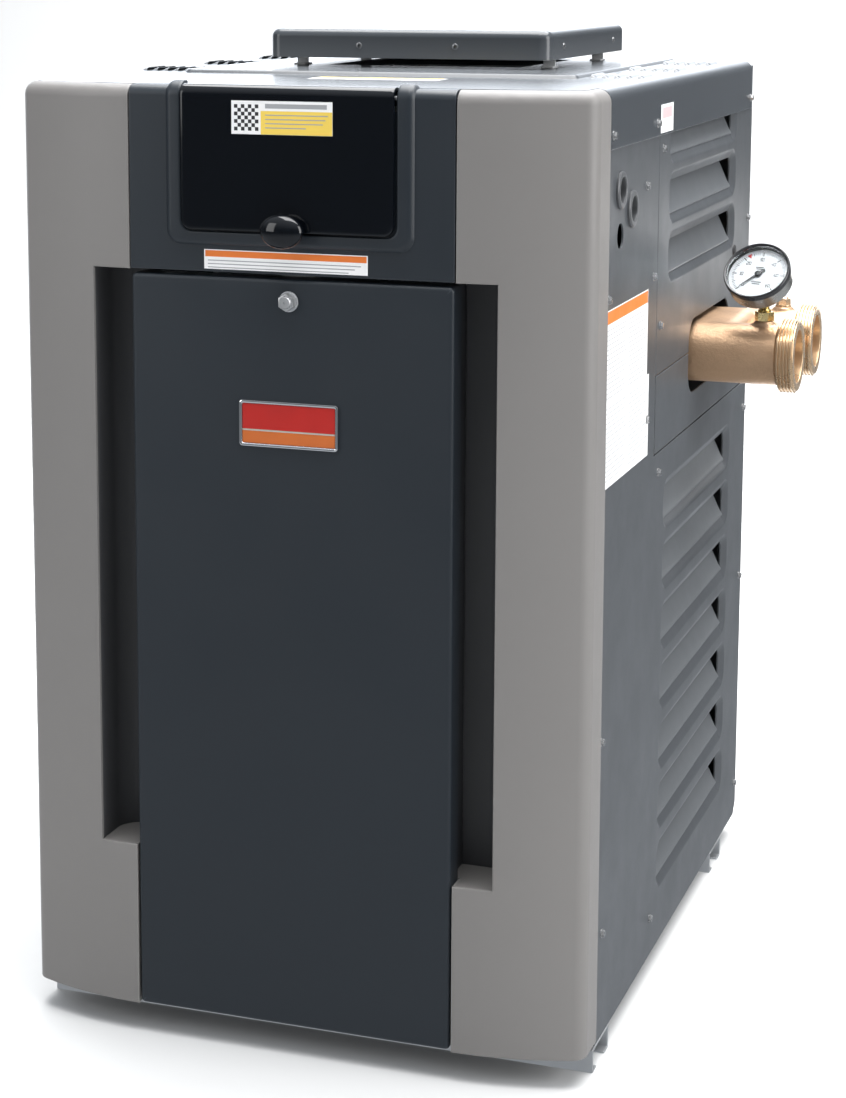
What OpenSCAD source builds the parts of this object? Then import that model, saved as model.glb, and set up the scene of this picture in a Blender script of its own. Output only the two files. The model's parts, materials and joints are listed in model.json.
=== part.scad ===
// Gas pool heater: sheet-metal cabinet, gas train, finned-tube exchanger and bronze water header.
// X is to the right, the front faces -Y, Z is up. The frame's origin is the middle of the footprint.

/* [Cabinet] */
// Width over the side skirts of the top cover
cab_w = 530; // [526:1:540]
// Depth from the front edge to the rear edge of the side panels
cab_d = 644; // [640:1:660]
// Height of the top cover's rim above the floor
cab_h = 870; // [868:1:880]
// Thickness of the cabinet's sheet metal
sheet = 1.5; // [1.2:0.1:1.6]
// Height of the skirt of the top cover
skirt_h = 52; // [48:1:56]
// Height of the base rails
rail_h = 22; // [20:1:26]

/* [Front] */
// Width of the flat middle of the front
centre_w = 300; // [296:1:304]
// How far the middle of the front stands ahead of the side panels
bow = 66; // [64:1:68]
// Plan radius of the bowed front columns
bow_r = 290; // [280:5:300]
// Height of the upper edge of the front door
door_top = 707; // [703:1:709]
// Width of each grip recess beside the door
grip_w = 36; // [32:1:38]
// Depth of each grip recess
grip_d = 56; // [50:1:57]
// Width of the flip cover over the controls
cover_w = 194; // [188:1:194]
// Height of the flip cover's lower edge
cover_bottom = 746; // [744:1:750]

/* [Louvres] */
// Length of a louvre
louvre_w = 304; // [280:2:308]
// Height of a louvre
louvre_h = 31; // [26:1:32]
// Distance between louvres
louvre_pitch = 60; // [58:1:61]

/* [Water] */
// Height of the water ports' axes
port_z = 590; // [588:1:592]
// Depth position of the inlet port
inlet_y = 62; // [61:1:63]
// Distance between the two ports
port_pitch = 108; // [107:1:110]
// Distance from the cabinet's side to the ports' faces
port_reach = 99; // [96:1:102]
// Radius of the ports' bores
port_r = 26.25; // [25:0.25:26.5]
// Number of finned tubes in the exchanger
tubes = 9; // [7:2:9]

/* [Rain cap] */
// Width of the rain cap
cap_w = 287; // [280:1:290]
// Depth of the rain cap
cap_d = 299; // [292:1:302]
// Gap between the raised top and the cap's edge
cap_gap = 9; // [8:1:12]
// Height of the cap's skirt
cap_h = 28; // [26:1:30]

/* [Hidden] */
$fn = 48;

// Finishes
slate = [0.24, 0.26, 0.29];
warm_grey = [0.50, 0.49, 0.47];
gloss_black = [0.03, 0.04, 0.06];
zinc = [0.72, 0.73, 0.74];
bronze = [0.76, 0.62, 0.48];
brass = [0.80, 0.66, 0.34];
copper = [0.72, 0.43, 0.28];
ceramic_white = [0.86, 0.84, 0.78];

// Cabinet
hw = cab_w / 2;
hd = cab_d / 2;
front_y = -(hd + bow);
door_x = centre_w / 2;
panel_x = hw - sheet;
skirt_z = cab_h - skirt_h;
panel_top = cab_h - 6;
front_z = rail_h + 5;
// The front pieces end just under the top cover.
front_high = cab_h - sheet - 0.3;
// The outermost points are the ports and the screw heads, and the knob and the rear screws.
knob_reach = 25.5;
screw_head = 3;
frame_x = (screw_head - port_reach) / 2;
frame_y = (bow + knob_reach - screw_head) / 2;

// Side wall divisions, as heights and depths
header_top = 594;
header_bottom = 519;
upper_front = -130;
seam = 0.5;
louvre_mid = 76;
louvre_top = 462;
upper_louvre_top = 812;
upper_louvre_pitch = 56;
lower_rows = 7;
upper_rows = 3;
louvre_in = 13;
conduit_r = 11.1;
grommet_r = 14;
grommet_at = [[-279, 781], [-236, 761]];
knockout_at = [-277, 741];
gas_at = [-130, 265];
gas_hole_r = 20;
side_screws = [[-178, 776], [-145, 690], [-315, 690], [-163, 560], [-315, 300], [-303, 120]];
upper_screws = [[-113, 805], [-113, 640], [310, 700]];
lower_screws = [[-110, 500], [310, 490], [310, 300], [310, 60], [-110, 60]];
skirt_screws = [[-312, 830], [-145, 830], [304, 830]];
rear_screws = [[-245, 780], [0, 780], [245, 780], [-245, 560], [245, 560], [-245, 320], [245, 320],
    [-245, 60], [0, 60], [245, 60]];

// Water side
core_y = inlet_y + port_pitch / 2;
outlet_y = inlet_y + port_pitch;
tube_pitch = 36;
tube_r = 12;
tube_left = -215;
tube_right = 200;
core_half = tube_pitch * (tubes - 1) / 2;
header_x = 232;
face_x = hw + port_reach;
chamber_h = 46;
header_h = 66;
header_half = core_half + 32;
bolt_r = 3;
bypass_x = 216;
wall_half = 8;
socket = 20;

// Combustion side
fire_left = -205;
fire_right = 190;
fire_bottom = 150;
fire_top = 558;
fire_front = core_y - core_half - 44;
fire_rear = core_y + core_half + 44;
lining = 22;
burner_z = 118;
burner_pitch = 38;
burner_n = 9;
burner_mid = (fire_left + fire_right) / 2;
manifold_y = gas_at[0];
pipe_r = 13.4;

// Flip cover and controls
hinge_y = front_y + 2;
hinge_z = cab_h - 8;
roll_r = 9.5;
pin_r = 2;
bore_gap = 0.05;
cover_front = hinge_y - roll_r;
well_y = front_y + 12;
button_r = 7;
button_x = [-66, -22, 22];
button_z = 772;
screw_z = 686;

// Rain cap
vent_y = 77;
plateau_h = 3;
top_z = cab_h + plateau_h;
vent_w = 200;

// Gauge: its elbow stands on the inlet port's neck, and its face looks forwards and up
gauge_base = [329, inlet_y, port_z + 30];
gauge_turn = [48, 0, -8];
gauge_r = 33;
elbow_h = 32;

// --- Shared shapes ---------------------------------------------------------------------------

module in_frame() {
    translate([frame_x, frame_y, 0]) children();
}

module box(lo, hi) {
    translate(lo) cube(hi - lo);
}

// Points of an arc about c, from angle a0 to a1 in n steps
function arc(c, r, a0, a1, n) =
    [for (i = [0:n]) let (a = a0 + (a1 - a0) * i / n) c + r * [cos(a), sin(a)]];

// Outline of a rectangle with corners of radius r, its middle at the origin
function round_rect(w, h, r) = concat(
    arc([w / 2 - r, h / 2 - r], r, 0, 90, 5), arc([r - w / 2, h / 2 - r], r, 90, 180, 5),
    arc([r - w / 2, r - h / 2], r, 180, 270, 5), arc([w / 2 - r, r - h / 2], r, 270, 360, 5));

// Stands a flat plate drawn in XY up as a wall: facing says which way its outer face looks
// (0 front, 90 right, 180 rear, -90 left) and out is that face's distance from the axis.
module wall(facing, out, t = sheet) {
    rotate([90, 0, facing]) translate([0, 0, out - t]) linear_extrude(t) children();
}

module rod(from, r, length, dir) {
    translate(from) rotate(dir) cylinder(r = r, h = length);
}

along_x = [0, 90, 0];
along_y = [-90, 0, 0];
along_z = [0, 0, 0];

module tube(from, r, bore, length, dir) {
    translate(from) rotate(dir) difference() {
        cylinder(r = r, h = length);
        translate([0, 0, -1]) cylinder(r = bore, h = length + 2);
    }
}

module holes_at(points, r) {
    for (p = points) translate(p) circle(r);
}

// Openings of a bank of louvres, in the plane of a wall
module louvre_holes(mid, top, rows, pitch) {
    for (i = [0:rows - 1]) translate([mid, top - i * pitch])
        polygon(round_rect(louvre_w, louvre_h, 9));
}

// Blades of the same bank: each leans inwards from the lower edge of its opening
module louvre_blades(facing, out, mid, top, rows, pitch) {
    half = louvre_h / 2;
    for (i = [0:rows - 1]) rotate([90, 0, facing])
        translate([mid - louvre_w / 2 + 8, top - i * pitch, out]) rotate([90, 0, 90])
        linear_extrude(louvre_w - 16)
        polygon([[-half - 2, 0], [1 - half, 0], [half, -louvre_in],
            [half, -louvre_in - sheet], [-half - 2, -sheet]]);
}

// One cap screw head with a hexagon on a round washer, standing on a wall's outer face
module screw_on(facing, out, p) {
    rotate([90, 0, facing]) translate([p[0], p[1], out]) {
        cylinder(r = 5, h = 0.8);
        translate([0, 0, 0.8]) cylinder(r = 3.6, h = screw_head - 0.8, $fn = 6);
        translate([0, 0, -9]) cylinder(r = 2, h = 9);
    }
}

// --- Base and panels ---------------------------------------------------------------------------

module base_rails() {
    color(zinc) in_frame() for (y = [-hd - 8, 180]) translate([1 - hw, y, 0]) rotate([90, 0, 90])
        linear_extrude(cab_w - 2) difference() {
            square([56, rail_h]);
            translate([2, 2]) square([52, rail_h - 4]);
            translate([14, -1]) square([28, 4]);
        }
}

module base_pan() {
    edge = panel_x - sheet;
    rim = 20;
    color(slate) in_frame() {
        translate([0, 0, rail_h]) linear_extrude(sheet) difference() {
            translate([-edge, -hd + 2]) square([2 * edge, cab_d - 4]);
            for (x = [-150:75:150], y = [-40:28:268]) translate([x - 25, y]) square([50, 8]);
        }
        for (s = [-1, 1]) {
            box([s * (edge - sheet / 2) - sheet / 2, 2 - hd, rail_h],
                [s * (edge - sheet / 2) + sheet / 2, hd - 2, rail_h + rim]);
            box([-edge, s * (hd - 2 - sheet / 2) - sheet / 2, rail_h],
                [edge, s * (hd - 2 - sheet / 2) + sheet / 2, rail_h + rim]);
        }
    }
}

// Cut-out around the water header, half in the upper panel and half in the header cover
module header_hole() {
    translate([core_y, port_z - 1]) polygon(round_rect(port_pitch + 92, 74, 24));
}

// Return flange at the front edge of a side panel
module front_flange(s) {
    inner = panel_x - sheet;
    box([s > 0 ? inner - 16 : -inner, -hd, rail_h],
        [s > 0 ? inner : 16 - inner, sheet - hd, panel_top]);
}

module left_side_panel() {
    color(slate) in_frame() {
        wall(-90, panel_x) difference() {
            polygon([[12 - hd, rail_h], [hd, rail_h], [hd, panel_top], [-hd, panel_top],
                [-hd, rail_h + 12]]);
            louvre_holes(-louvre_mid, louvre_top, lower_rows, louvre_pitch);
            louvre_holes(-louvre_mid, upper_louvre_top, upper_rows, upper_louvre_pitch);
            translate([-gas_at[0], gas_at[1]]) circle(gas_hole_r);
            for (p = concat(side_screws, lower_screws, skirt_screws))
                translate([-p[0], p[1]]) circle(2.2);
        }
        louvre_blades(-90, panel_x, -louvre_mid, louvre_top, lower_rows, louvre_pitch);
        louvre_blades(-90, panel_x, -louvre_mid, upper_louvre_top, upper_rows,
            upper_louvre_pitch);
        front_flange(-1);
    }
}

module right_side_panel() {
    color(slate) in_frame() {
        wall(90, panel_x) difference() {
            polygon([[-hd, rail_h], [hd - 12, rail_h], [hd, rail_h + 12], [hd, header_bottom],
                [upper_front, header_bottom], [upper_front, panel_top], [-hd, panel_top]]);
            louvre_holes(louvre_mid, louvre_top, lower_rows, louvre_pitch);
            holes_at(grommet_at, grommet_r + 0.1);
            translate(knockout_at) circle(conduit_r);
            holes_at(side_screws, 2.2);
            holes_at(lower_screws, 2.2);
            holes_at([skirt_screws[0], skirt_screws[1]], 2.2);
        }
        louvre_blades(90, panel_x, louvre_mid, louvre_top, lower_rows, louvre_pitch);
        front_flange(1);
    }
}

module upper_louvre_panel() {
    color(slate) in_frame() {
        wall(90, panel_x) difference() {
            translate([upper_front + seam, header_top + seam])
                square([hd - upper_front - seam, panel_top - header_top - seam]);
            louvre_holes(louvre_mid, upper_louvre_top, upper_rows, upper_louvre_pitch);
            header_hole();
            holes_at(upper_screws, 2.2);
            holes_at([skirt_screws[2]], 2.2);
        }
        louvre_blades(90, panel_x, louvre_mid, upper_louvre_top, upper_rows,
            upper_louvre_pitch);
    }
}

module header_cover() {
    color(slate) in_frame() wall(90, panel_x) difference() {
        translate([upper_front + seam, header_bottom + seam])
            square([hd - upper_front - seam, header_top - header_bottom - seam]);
        header_hole();
    }
}

module rear_panel() {
    inner = panel_x - sheet;
    color(slate) in_frame() {
        wall(180, hd) difference() {
            translate([-inner, rail_h]) square([2 * inner, panel_top - rail_h]);
            louvre_holes(0, 420, 4, louvre_pitch);
            holes_at(rear_screws, 2.2);
        }
        louvre_blades(180, hd, 0, 420, 4, louvre_pitch);
    }
}

module top_cover() {
    front = front_y + 16;
    side = column_line(0);
    other_side = [for (p = side) [-p[0], p[1]]];
    color(slate) in_frame() difference() {
        union() {
            translate([0, 0, cab_h - sheet]) linear_extrude(sheet) intersection() {
                polygon(concat(side, [[hw, hd + sheet], [-hw, hd + sheet]], reverse(other_side)));
                translate([-hw - 1, front]) square([cab_w + 2, hd + sheet + 1 - front]);
            }
            box([-195, -168, cab_h - sheet], [195, 250, top_z]);
            for (x = [-hw, hw - sheet]) box([x, -hd, skirt_z], [x + sheet, hd, cab_h]);
            box([-hw, hd, skirt_z], [hw, hd + sheet, cab_h]);
        }
        box([sheet - 195, sheet - 168, cab_h - 5], [195 - sheet, 250 - sheet, top_z - sheet]);
        box([-vent_w / 2, vent_y - vent_w / 2, cab_h - 5], [vent_w / 2, vent_y + vent_w / 2, 900]);
        for (s = [-1, 1], y = [-140, 10, 160], i = [0:4])
            box([s * (202 + 11 * i) - 1.5, y, cab_h - 5], [s * (202 + 11 * i) + 1.5, y + 45, 900]);
        for (s = [-1, 1], p = skirt_screws)
            rod([s > 0 ? hw - 5 : -hw - 5, p[0], p[1]], 2.2, 10, along_x);
    }
}

module vent_cap() {
    z = top_z + cap_gap;
    color(slate) in_frame() difference() {
        box([-cap_w / 2, vent_y - cap_d / 2, z], [cap_w / 2, vent_y + cap_d / 2, z + cap_h]);
        box([sheet - cap_w / 2, vent_y - cap_d / 2 + sheet, z - 1],
            [cap_w / 2 - sheet, vent_y + cap_d / 2 - sheet, z + cap_h - sheet]);
    }
}

module cap_legs() {
    tip = top_z + cap_gap + cap_h - sheet;
    color(zinc) in_frame() for (sx = [-1, 1], sy = [-1, 1])
        translate([sx * 128, vent_y + sy * 95, 0]) {
            box([-6, -10, top_z], [6, 10, top_z + sheet]);
            box([-6, -sheet / 2, top_z], [6, sheet / 2, tip]);
            box([-6, -10, tip - sheet], [6, 10, tip]);
        }
}

// --- Front ---------------------------------------------------------------------------------------

// Plan line of the column's outer face, taken in by t, from the flat middle to the side
function column_line(t) =
    let (c = [door_x, front_y + bow_r], k = 15,
        dx = hw - k - door_x,
        dy = -sqrt(pow(bow_r - k, 2) - dx * dx),
        a = atan2(dy, dx))
    concat(arc(c, bow_r - t, -90, a, 10), arc(c + [dx, dy], k - t, a * 0.8, 0, 4));

function reverse(list) = [for (i = [len(list) - 1:-1:0]) list[i]];

// Plan of the column's shell of thickness t, where x is over from_x
module column_shape(t, from_x) {
    difference() {
        polygon(concat(column_line(0), [[hw, -hd], [hw - t, -hd]], reverse(column_line(t))));
        translate([-1, front_y - 1]) square([from_x + 1, bow]);
    }
}

module column() {
    t = 2.5;
    grip_x = door_x + grip_w;
    back_y = front_y + grip_d;
    low = 181;
    cove = 20;
    hook_x = door_x - 10;
    hook_y = front_y + 24;
    module ledge(z) {
        translate([0, 0, z]) linear_extrude(t) intersection() {
            polygon(concat(column_line(0), [[hw, -hd], [hook_x, -hd], [hook_x, hook_y],
                [door_x, hook_y]]));
            translate([hook_x, front_y]) square([grip_x + t - hook_x, grip_d + t]);
        }
    }
    for (z = [[front_z, low], [door_top, front_high]]) translate([0, 0, z[0]])
        linear_extrude(z[1] - z[0]) {
            column_shape(t, 0);
            translate([door_x, front_y]) square([t, 20]);
        }
    // The grip recess: outer wall, cove, back wall and the lip behind the door's flange
    translate([0, 0, low]) linear_extrude(door_top - low) {
        column_shape(t, grip_x);
        polygon(concat([[grip_x, front_y + 2.5], [grip_x + t, front_y + 3]],
            arc([grip_x - cove, back_y - cove], cove + t, 0, 90, 6),
            [[hook_x, back_y + t], [hook_x, hook_y], [hook_x + t, hook_y], [hook_x + t, back_y]],
            arc([grip_x - cove, back_y - cove], cove, 90, 0, 6)));
    }
    ledge(low - t);
    ledge(door_top);
    // Top plate, which runs back under the top cover
    translate([0, 0, front_high - t]) linear_extrude(t) intersection() {
        polygon(concat(column_line(0), [[hw, -hd], [door_x, -hd]]));
        translate([door_x, front_y]) square([hw, 26]);
    }
}

module right_column() {
    color(warm_grey) in_frame() column();
}

module left_column() {
    color(warm_grey) in_frame() mirror([1, 0, 0]) column();
}

module control_fascia() {
    half = door_x - 1;
    low = door_top + 2;
    open_half = cover_w / 2 + 1.5;
    well_half = 92;
    well_low = 752;
    well_high = 848;
    proud = 4;
    color(slate) in_frame() difference() {
        union() {
            box([-half, front_y, low], [half, front_y + 2.5, front_high]);
            box([-half, front_y, front_high - sheet], [half, front_y + 20, front_high]);
            box([-half, front_y, low], [half, front_y + 20, low + sheet]);
            for (x = [-half, half - sheet])
                box([x, front_y, low], [x + sheet, front_y + 20, front_high]);
            // Raised bezel round the flip cover; its two uprights carry the hinge pin
            box([-open_half - 15, front_y - proud, cover_bottom - 14],
                [open_half + 15, front_y, cover_bottom - 1.5]);
            for (s = [-1, 1]) box([s * (open_half + 7.5) - 7.5, front_y - proud, cover_bottom - 14],
                [s * (open_half + 7.5) + 7.5, front_y + 10, front_high]);
            // Walls of the well that holds the control panel
            box([-well_half - 2, front_y, well_low - 2], [well_half + 2, well_y - 2, well_high + 2]);
        }
        box([-well_half, front_y - 1, well_low], [well_half, well_y, well_high]);
        // Notch for the cover's roll, deep enough for the cover when it leans back
        box([-open_half, front_y - 6, hinge_z - roll_r - 1.5],
            [open_half, hinge_y + roll_r + 4, cab_h + 1]);
        rod([-open_half - 16, hinge_y, hinge_z], pin_r + bore_gap, 2 * open_half + 32, along_x);
    }
}

module flip_cover() {
    half = cover_w / 2;
    color(gloss_black) in_frame() {
        tube([-half, hinge_y, hinge_z], roll_r, pin_r + bore_gap, cover_w, along_x);
        wall(0, -cover_front, 3) difference() {
            union() {
                translate([0, (cover_bottom + hinge_z - 6) / 2])
                    polygon(round_rect(cover_w, hinge_z - 6 - cover_bottom, 8));
                translate([-half, hinge_z - 30]) square([cover_w, 29]);
                translate([0, cover_bottom + 2]) circle(14);
            }
            translate([0, cover_bottom + 2]) circle(3.1);
        }
    }
}

module cover_knob() {
    color(gloss_black) in_frame() {
        translate([0, cover_front - 9, cover_bottom + 2])
            scale([19.5, 9, 14.8]) sphere(r = 1, $fn = 32);
        rod([0, cover_front - 4, cover_bottom + 2], 3, 7.2, along_y);
    }
}

module cover_hinge_pin() {
    reach = cover_w / 2 + 15;
    color(zinc) in_frame() rod([-reach, hinge_y, hinge_z], pin_r, 2 * reach, along_x);
}

module front_door() {
    half = door_x - 1.5;
    low = front_z + 1;
    high = door_top - 2;
    flange = 22;
    color(slate) in_frame() difference() {
        box([-half, front_y, low], [half, front_y + flange, high]);
        box([sheet - half, front_y + sheet, low + sheet],
            [half - sheet, front_y + flange + 1, high - sheet]);
        rod([0, front_y - 1, screw_z], 4.1, 5, along_y);
    }
}

module door_screw() {
    color(zinc) in_frame() {
        rod([0, front_y - 1, screw_z], 4, 32, along_y);
        rod([0, front_y - 1.5, screw_z], 9, 1.5, along_y);
        translate([0, front_y - 8, screw_z]) rotate(along_y) cylinder(r = 8, h = 6.5, $fn = 6);
        rod([0, front_y - 10, screw_z], 5.5, 2, along_y);
    }
}

module screw_receiver() {
    color(zinc) in_frame() difference() {
        union() {
            wall(0, -(front_y + 25), 2.5) translate([-15, screw_z - 14])
                square([30, door_top + 4 - screw_z + 14]);
            box([-15, front_y + 25, door_top + 2.5], [15, front_y + 60, door_top + 4]);
        }
        rod([0, front_y + 20, screw_z], 4.3, 12, along_y);
    }
}

module badge_rim() {
    color(zinc) in_frame() translate([0, 0, 578]) wall(0, -(front_y - 3), 3) difference() {
        polygon(round_rect(92, 41, 2.5));
        polygon(round_rect(86, 35, 1.5));
    }
}

module badge_plate() {
    color([0.72, 0.10, 0.08]) in_frame() translate([0, 0, 578]) wall(0, -(front_y - 1.8), 1.8)
        polygon(round_rect(86, 35, 1.5));
}

module cabinet_screws() {
    color(zinc) in_frame() {
        for (p = concat(side_screws, lower_screws, upper_screws)) screw_on(90, panel_x, p);
        for (p = concat(side_screws, lower_screws)) screw_on(-90, panel_x, [-p[0], p[1]]);
        for (p = skirt_screws) {
            screw_on(90, hw, p);
            screw_on(-90, hw, [-p[0], p[1]]);
        }
        for (p = rear_screws) screw_on(180, hd, p);
    }
}

module conduit_grommets() {
    color(gloss_black) in_frame() for (p = grommet_at)
        translate([panel_x, p[0], p[1]]) rotate(along_x) difference() {
            union() {
                cylinder(r = 16.5, h = 3);
                translate([0, 0, -sheet]) cylinder(r = grommet_r, h = sheet);
                translate([0, 0, -6]) cylinder(r = 16.5, h = 6 - sheet);
            }
            translate([0, 0, -7]) cylinder(r = conduit_r, h = 12);
        }
}

// --- Controls --------------------------------------------------------------------------------------

module control_tray() {
    half = door_x - 4;
    low = door_top + 4;
    front = front_y + 22;
    back = -250;
    high = cab_h - 10;
    color(zinc) in_frame() difference() {
        box([-half, front, low], [half, back, high]);
        box([sheet - half, front - 1, low + sheet], [half - sheet, back - sheet, high + 1]);
    }
}

module control_panel() {
    color(gloss_black) in_frame() wall(0, -(well_y - 2), 2) difference() {
        translate([-94, 750]) square([188, 100]);
        for (x = button_x) translate([x, button_z]) circle(button_r + 0.3);
        translate([-70, 800]) square([100, 34]);
    }
}

module display_window() {
    color([0.55, 0.62, 0.55]) in_frame()
        union() {
            box([-69.8, well_y - 3, 800.2], [29.8, well_y + 1, 833.8]);
            box([-74, well_y, 796], [34, well_y + 1.5, 838]);
        }
}

module button(i) {
    rod([button_x[i], well_y - 5, button_z], button_r, 12, along_y);
    rod([button_x[i], well_y + 0.2, button_z], button_r + 1.5, 6.8, along_y);
}

module button_mode() {
    color([0.75, 0.76, 0.78]) in_frame() button(0);
}

module button_down() {
    color([0.20, 0.38, 0.62]) in_frame() button(1);
}

module button_up() {
    color([0.70, 0.22, 0.16]) in_frame() button(2);
}

module control_board() {
    board = well_y + 8.5;
    color([0.08, 0.30, 0.18]) in_frame() {
        box([-88, board, 746], [88, board + 1.6, 846]);
        for (x = [-60, -30, 0]) box([x, board + 1.6, 800], [x + 20, board + 18, 830]);
        box([30, board + 1.6, 760], [60, board + 12, 790]);
        for (x = [-80, -50, -20]) box([x, board + 1.6, 750], [x + 22, board + 13, 760]);
    }
}

module transformer() {
    color([0.30, 0.28, 0.26]) in_frame() {
        box([70, -330, door_top + 4 + sheet], [130, -285, door_top + 55]);
        box([80, -342, door_top + 14], [120, -273, door_top + 46]);
    }
}

module junction_box() {
    right = panel_x - sheet;
    color(zinc) in_frame() difference() {
        box([205, -312, 716], [right, -205, 806]);
        box([205 + sheet, -312 + sheet, 716 + sheet], [right + 1, -205 - sheet, 806 - sheet]);
    }
}

module terminal_block() {
    x = 205 + sheet;
    color(gloss_black) in_frame() difference() {
        box([x, -290, 735], [x + 16, -222, 757]);
        for (i = [0:4]) box([x + 6, -286 + 13 * i, 730], [x + 17, -277 + 13 * i, 760]);
    }
}

// --- Gas train -------------------------------------------------------------------------------------

valve_lo = [-60, -172, 232];
valve_hi = [20, -92, 300];

module gas_valve() {
    color([0.62, 0.63, 0.65]) in_frame() difference() {
        union() {
            box(valve_lo, valve_hi);
            rod([-72, manifold_y, gas_at[1]], 19, 20, along_x);
            rod([-20, manifold_y, 218], 19, 20, along_z);
            rod([-20, manifold_y, valve_hi[2]], 24, 34, along_z);
            rod([-20, valve_lo[1] - 6, 266], 16, 10, along_y);
        }
        rod([-73, manifold_y, gas_at[1]], pipe_r + bore_gap, 20, along_x);
        rod([-20, manifold_y, 217], pipe_r + bore_gap, 20, along_z);
        rod([-20, valve_lo[1] - 7, 266], 5.1, 18, along_y);
    }
}

module gas_valve_knob() {
    color(gloss_black) in_frame() {
        rod([-20, valve_lo[1] - 8, 266], 5, 16, along_y);
        rod([-20, valve_lo[1] - 20, 266], 14, 13, along_y);
        box([-23, valve_lo[1] - 27, 253], [-17, valve_lo[1] - 19, 279]);
    }
}

module gas_inlet_pipe() {
    color([0.16, 0.16, 0.17]) in_frame() {
        tube([-238, manifold_y, gas_at[1]], pipe_r, 10.4, 184, along_x);
        difference() {
            rod([panel_x * -1 + 5, manifold_y, gas_at[1]], 17.5, 38, along_x);
            rod([panel_x * -1 + 4, manifold_y, gas_at[1]], 12.1, 23, along_x);
            rod([-242, manifold_y, gas_at[1]], pipe_r - 1, 50, along_x);
        }
    }
}

module gas_manifold() {
    half = burner_pitch * (burner_n - 1) / 2 + 24;
    color([0.16, 0.16, 0.17]) in_frame() difference() {
        union() {
            rod([burner_mid - half, manifold_y, burner_z], pipe_r, 2 * half, along_x);
            for (x = [burner_mid - half, burner_mid + half - 16])
                rod([x, manifold_y, burner_z], 17, 16, along_x);
            rod([-20, manifold_y, burner_z], pipe_r, 236 - burner_z, along_z);
            rod([-20, manifold_y, burner_z + 4], 18, 20, along_z);
        }
        rod([burner_mid - half + 8, manifold_y, burner_z], 10.4, 2 * half - 16, along_x);
        rod([-20, manifold_y, burner_z], 10.4, 120, along_z);
        for (i = [0:burner_n - 1]) rod([burner_x(i), manifold_y, burner_z], 4.05, 20, along_y);
    }
}

function burner_x(i) = burner_mid + (i - (burner_n - 1) / 2) * burner_pitch;

igniter_x = burner_x(0.5);
igniter_z = 138;

module gas_orifices() {
    color(brass) in_frame() for (i = [0:burner_n - 1])
        translate([burner_x(i), manifold_y + pipe_r, burner_z]) rotate(along_y) difference() {
            union() {
                translate([0, 0, -2]) cylinder(r = 4, h = 14);
                translate([0, 0, 2]) cylinder(r = 6.5, h = 5, $fn = 6);
            }
            translate([0, 0, -3]) cylinder(r = 1.3, h = 20);
        }
}

module burner_tray() {
    left = fire_left + lining;
    right = fire_right - lining;
    front = fire_front + 2;
    rear = fire_rear - lining;
    low = 88;
    high = fire_bottom;
    color(zinc) in_frame() {
        difference() {
            box([left, front, low], [right, rear, high]);
            box([left + sheet, front + sheet, low + sheet],
                [right - sheet, rear - sheet, high + 1]);
            for (i = [0:burner_n - 1])
                rod([burner_x(i), front - 1, burner_z], 13.6, 5, along_y);
            rod([igniter_x, front - 1, igniter_z], 4.2, 5, along_y);
        }
        for (x = [left, right - sheet])
            box([x, front, rail_h + sheet], [x + sheet, rear, low]);
    }
}

module burners() {
    front = manifold_y + pipe_r + 16;
    neck = fire_front - 8;
    rear = fire_rear - lining - 6;
    color([0.55, 0.54, 0.52]) in_frame() for (i = [0:burner_n - 1])
        translate([burner_x(i), 0, burner_z]) difference() {
            union() {
                rod([0, neck, 0], 13, rear - neck, along_y);
                translate([0, front, 0]) rotate(along_y)
                    cylinder(r1 = 17, r2 = 13, h = neck - front);
            }
            rod([0, neck - 1, 0], 11.6, rear - neck - 1, along_y);
            translate([0, front - 0.01, 0]) rotate(along_y)
                cylinder(r1 = 15.6, r2 = 11.6, h = neck - front + 0.02);
            box([-2, neck + 30, 5], [2, rear - 12, 20]);
        }
}

module igniter() {
    y = fire_front + 12;
    color(ceramic_white) in_frame() {
        box([igniter_x - 10, fire_front + 3.5, igniter_z - 6],
            [igniter_x + 10, fire_front + 5.5, igniter_z + 10]);
        rod([igniter_x, fire_front - 8, igniter_z], 4, 24, along_y);
        for (x = [-2, 2]) rod([igniter_x + x, y, igniter_z], 1, 24, along_y);
    }
}

// --- Combustion chamber ------------------------------------------------------------------------------

module firebox() {
    color(zinc) in_frame() {
        difference() {
            box([fire_left, fire_front, fire_bottom + 0.5], [fire_right, fire_rear, fire_top]);
            box([fire_left + sheet, fire_front + sheet, fire_bottom - 1],
                [fire_right - sheet, fire_rear - sheet, fire_top + 1]);
        }
        for (x = [fire_left, fire_right - 20], y = [fire_front, fire_rear - sheet])
            box([x, y, rail_h + sheet], [x + 20, y + sheet, fire_bottom + 1]);
    }
}

module refractory_panels() {
    left = fire_left + sheet;
    right = fire_right - sheet;
    front = fire_front + sheet;
    rear = fire_rear - sheet;
    z = [fire_bottom + 1, fire_top];
    color(ceramic_white) in_frame() {
        for (y = [front, rear - lining + sheet])
            box([left, y, z[0]], [right, y + lining - sheet, z[1]]);
        for (x = [left, right - lining + sheet])
            box([x, front + lining, z[0]], [x + lining - sheet, rear - lining, z[1]]);
    }
}

module flue_collector() {
    low = fire_top + 66;
    mid = 700;
    high = cab_h - 4;
    module shell(t) {
        box([fire_left + t, fire_front + t, low - (t > 0 ? 1 : 0)],
            [fire_right - t, fire_rear - t, mid]);
        hull() {
            box([fire_left + t, fire_front + t, mid - 1], [fire_right - t, fire_rear - t, mid]);
            box([t - 98, vent_y - 98 + t, 800], [98 - t, vent_y + 98 - t, 801]);
        }
        box([t - 98, vent_y - 98 + t, 800], [98 - t, vent_y + 98 - t, high + (t > 0 ? 1 : 0)]);
    }
    color(zinc) in_frame() difference() {
        shell(0);
        shell(sheet);
    }
}

// --- Water side --------------------------------------------------------------------------------------

function tube_y(i) = core_y - core_half + i * tube_pitch;

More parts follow.
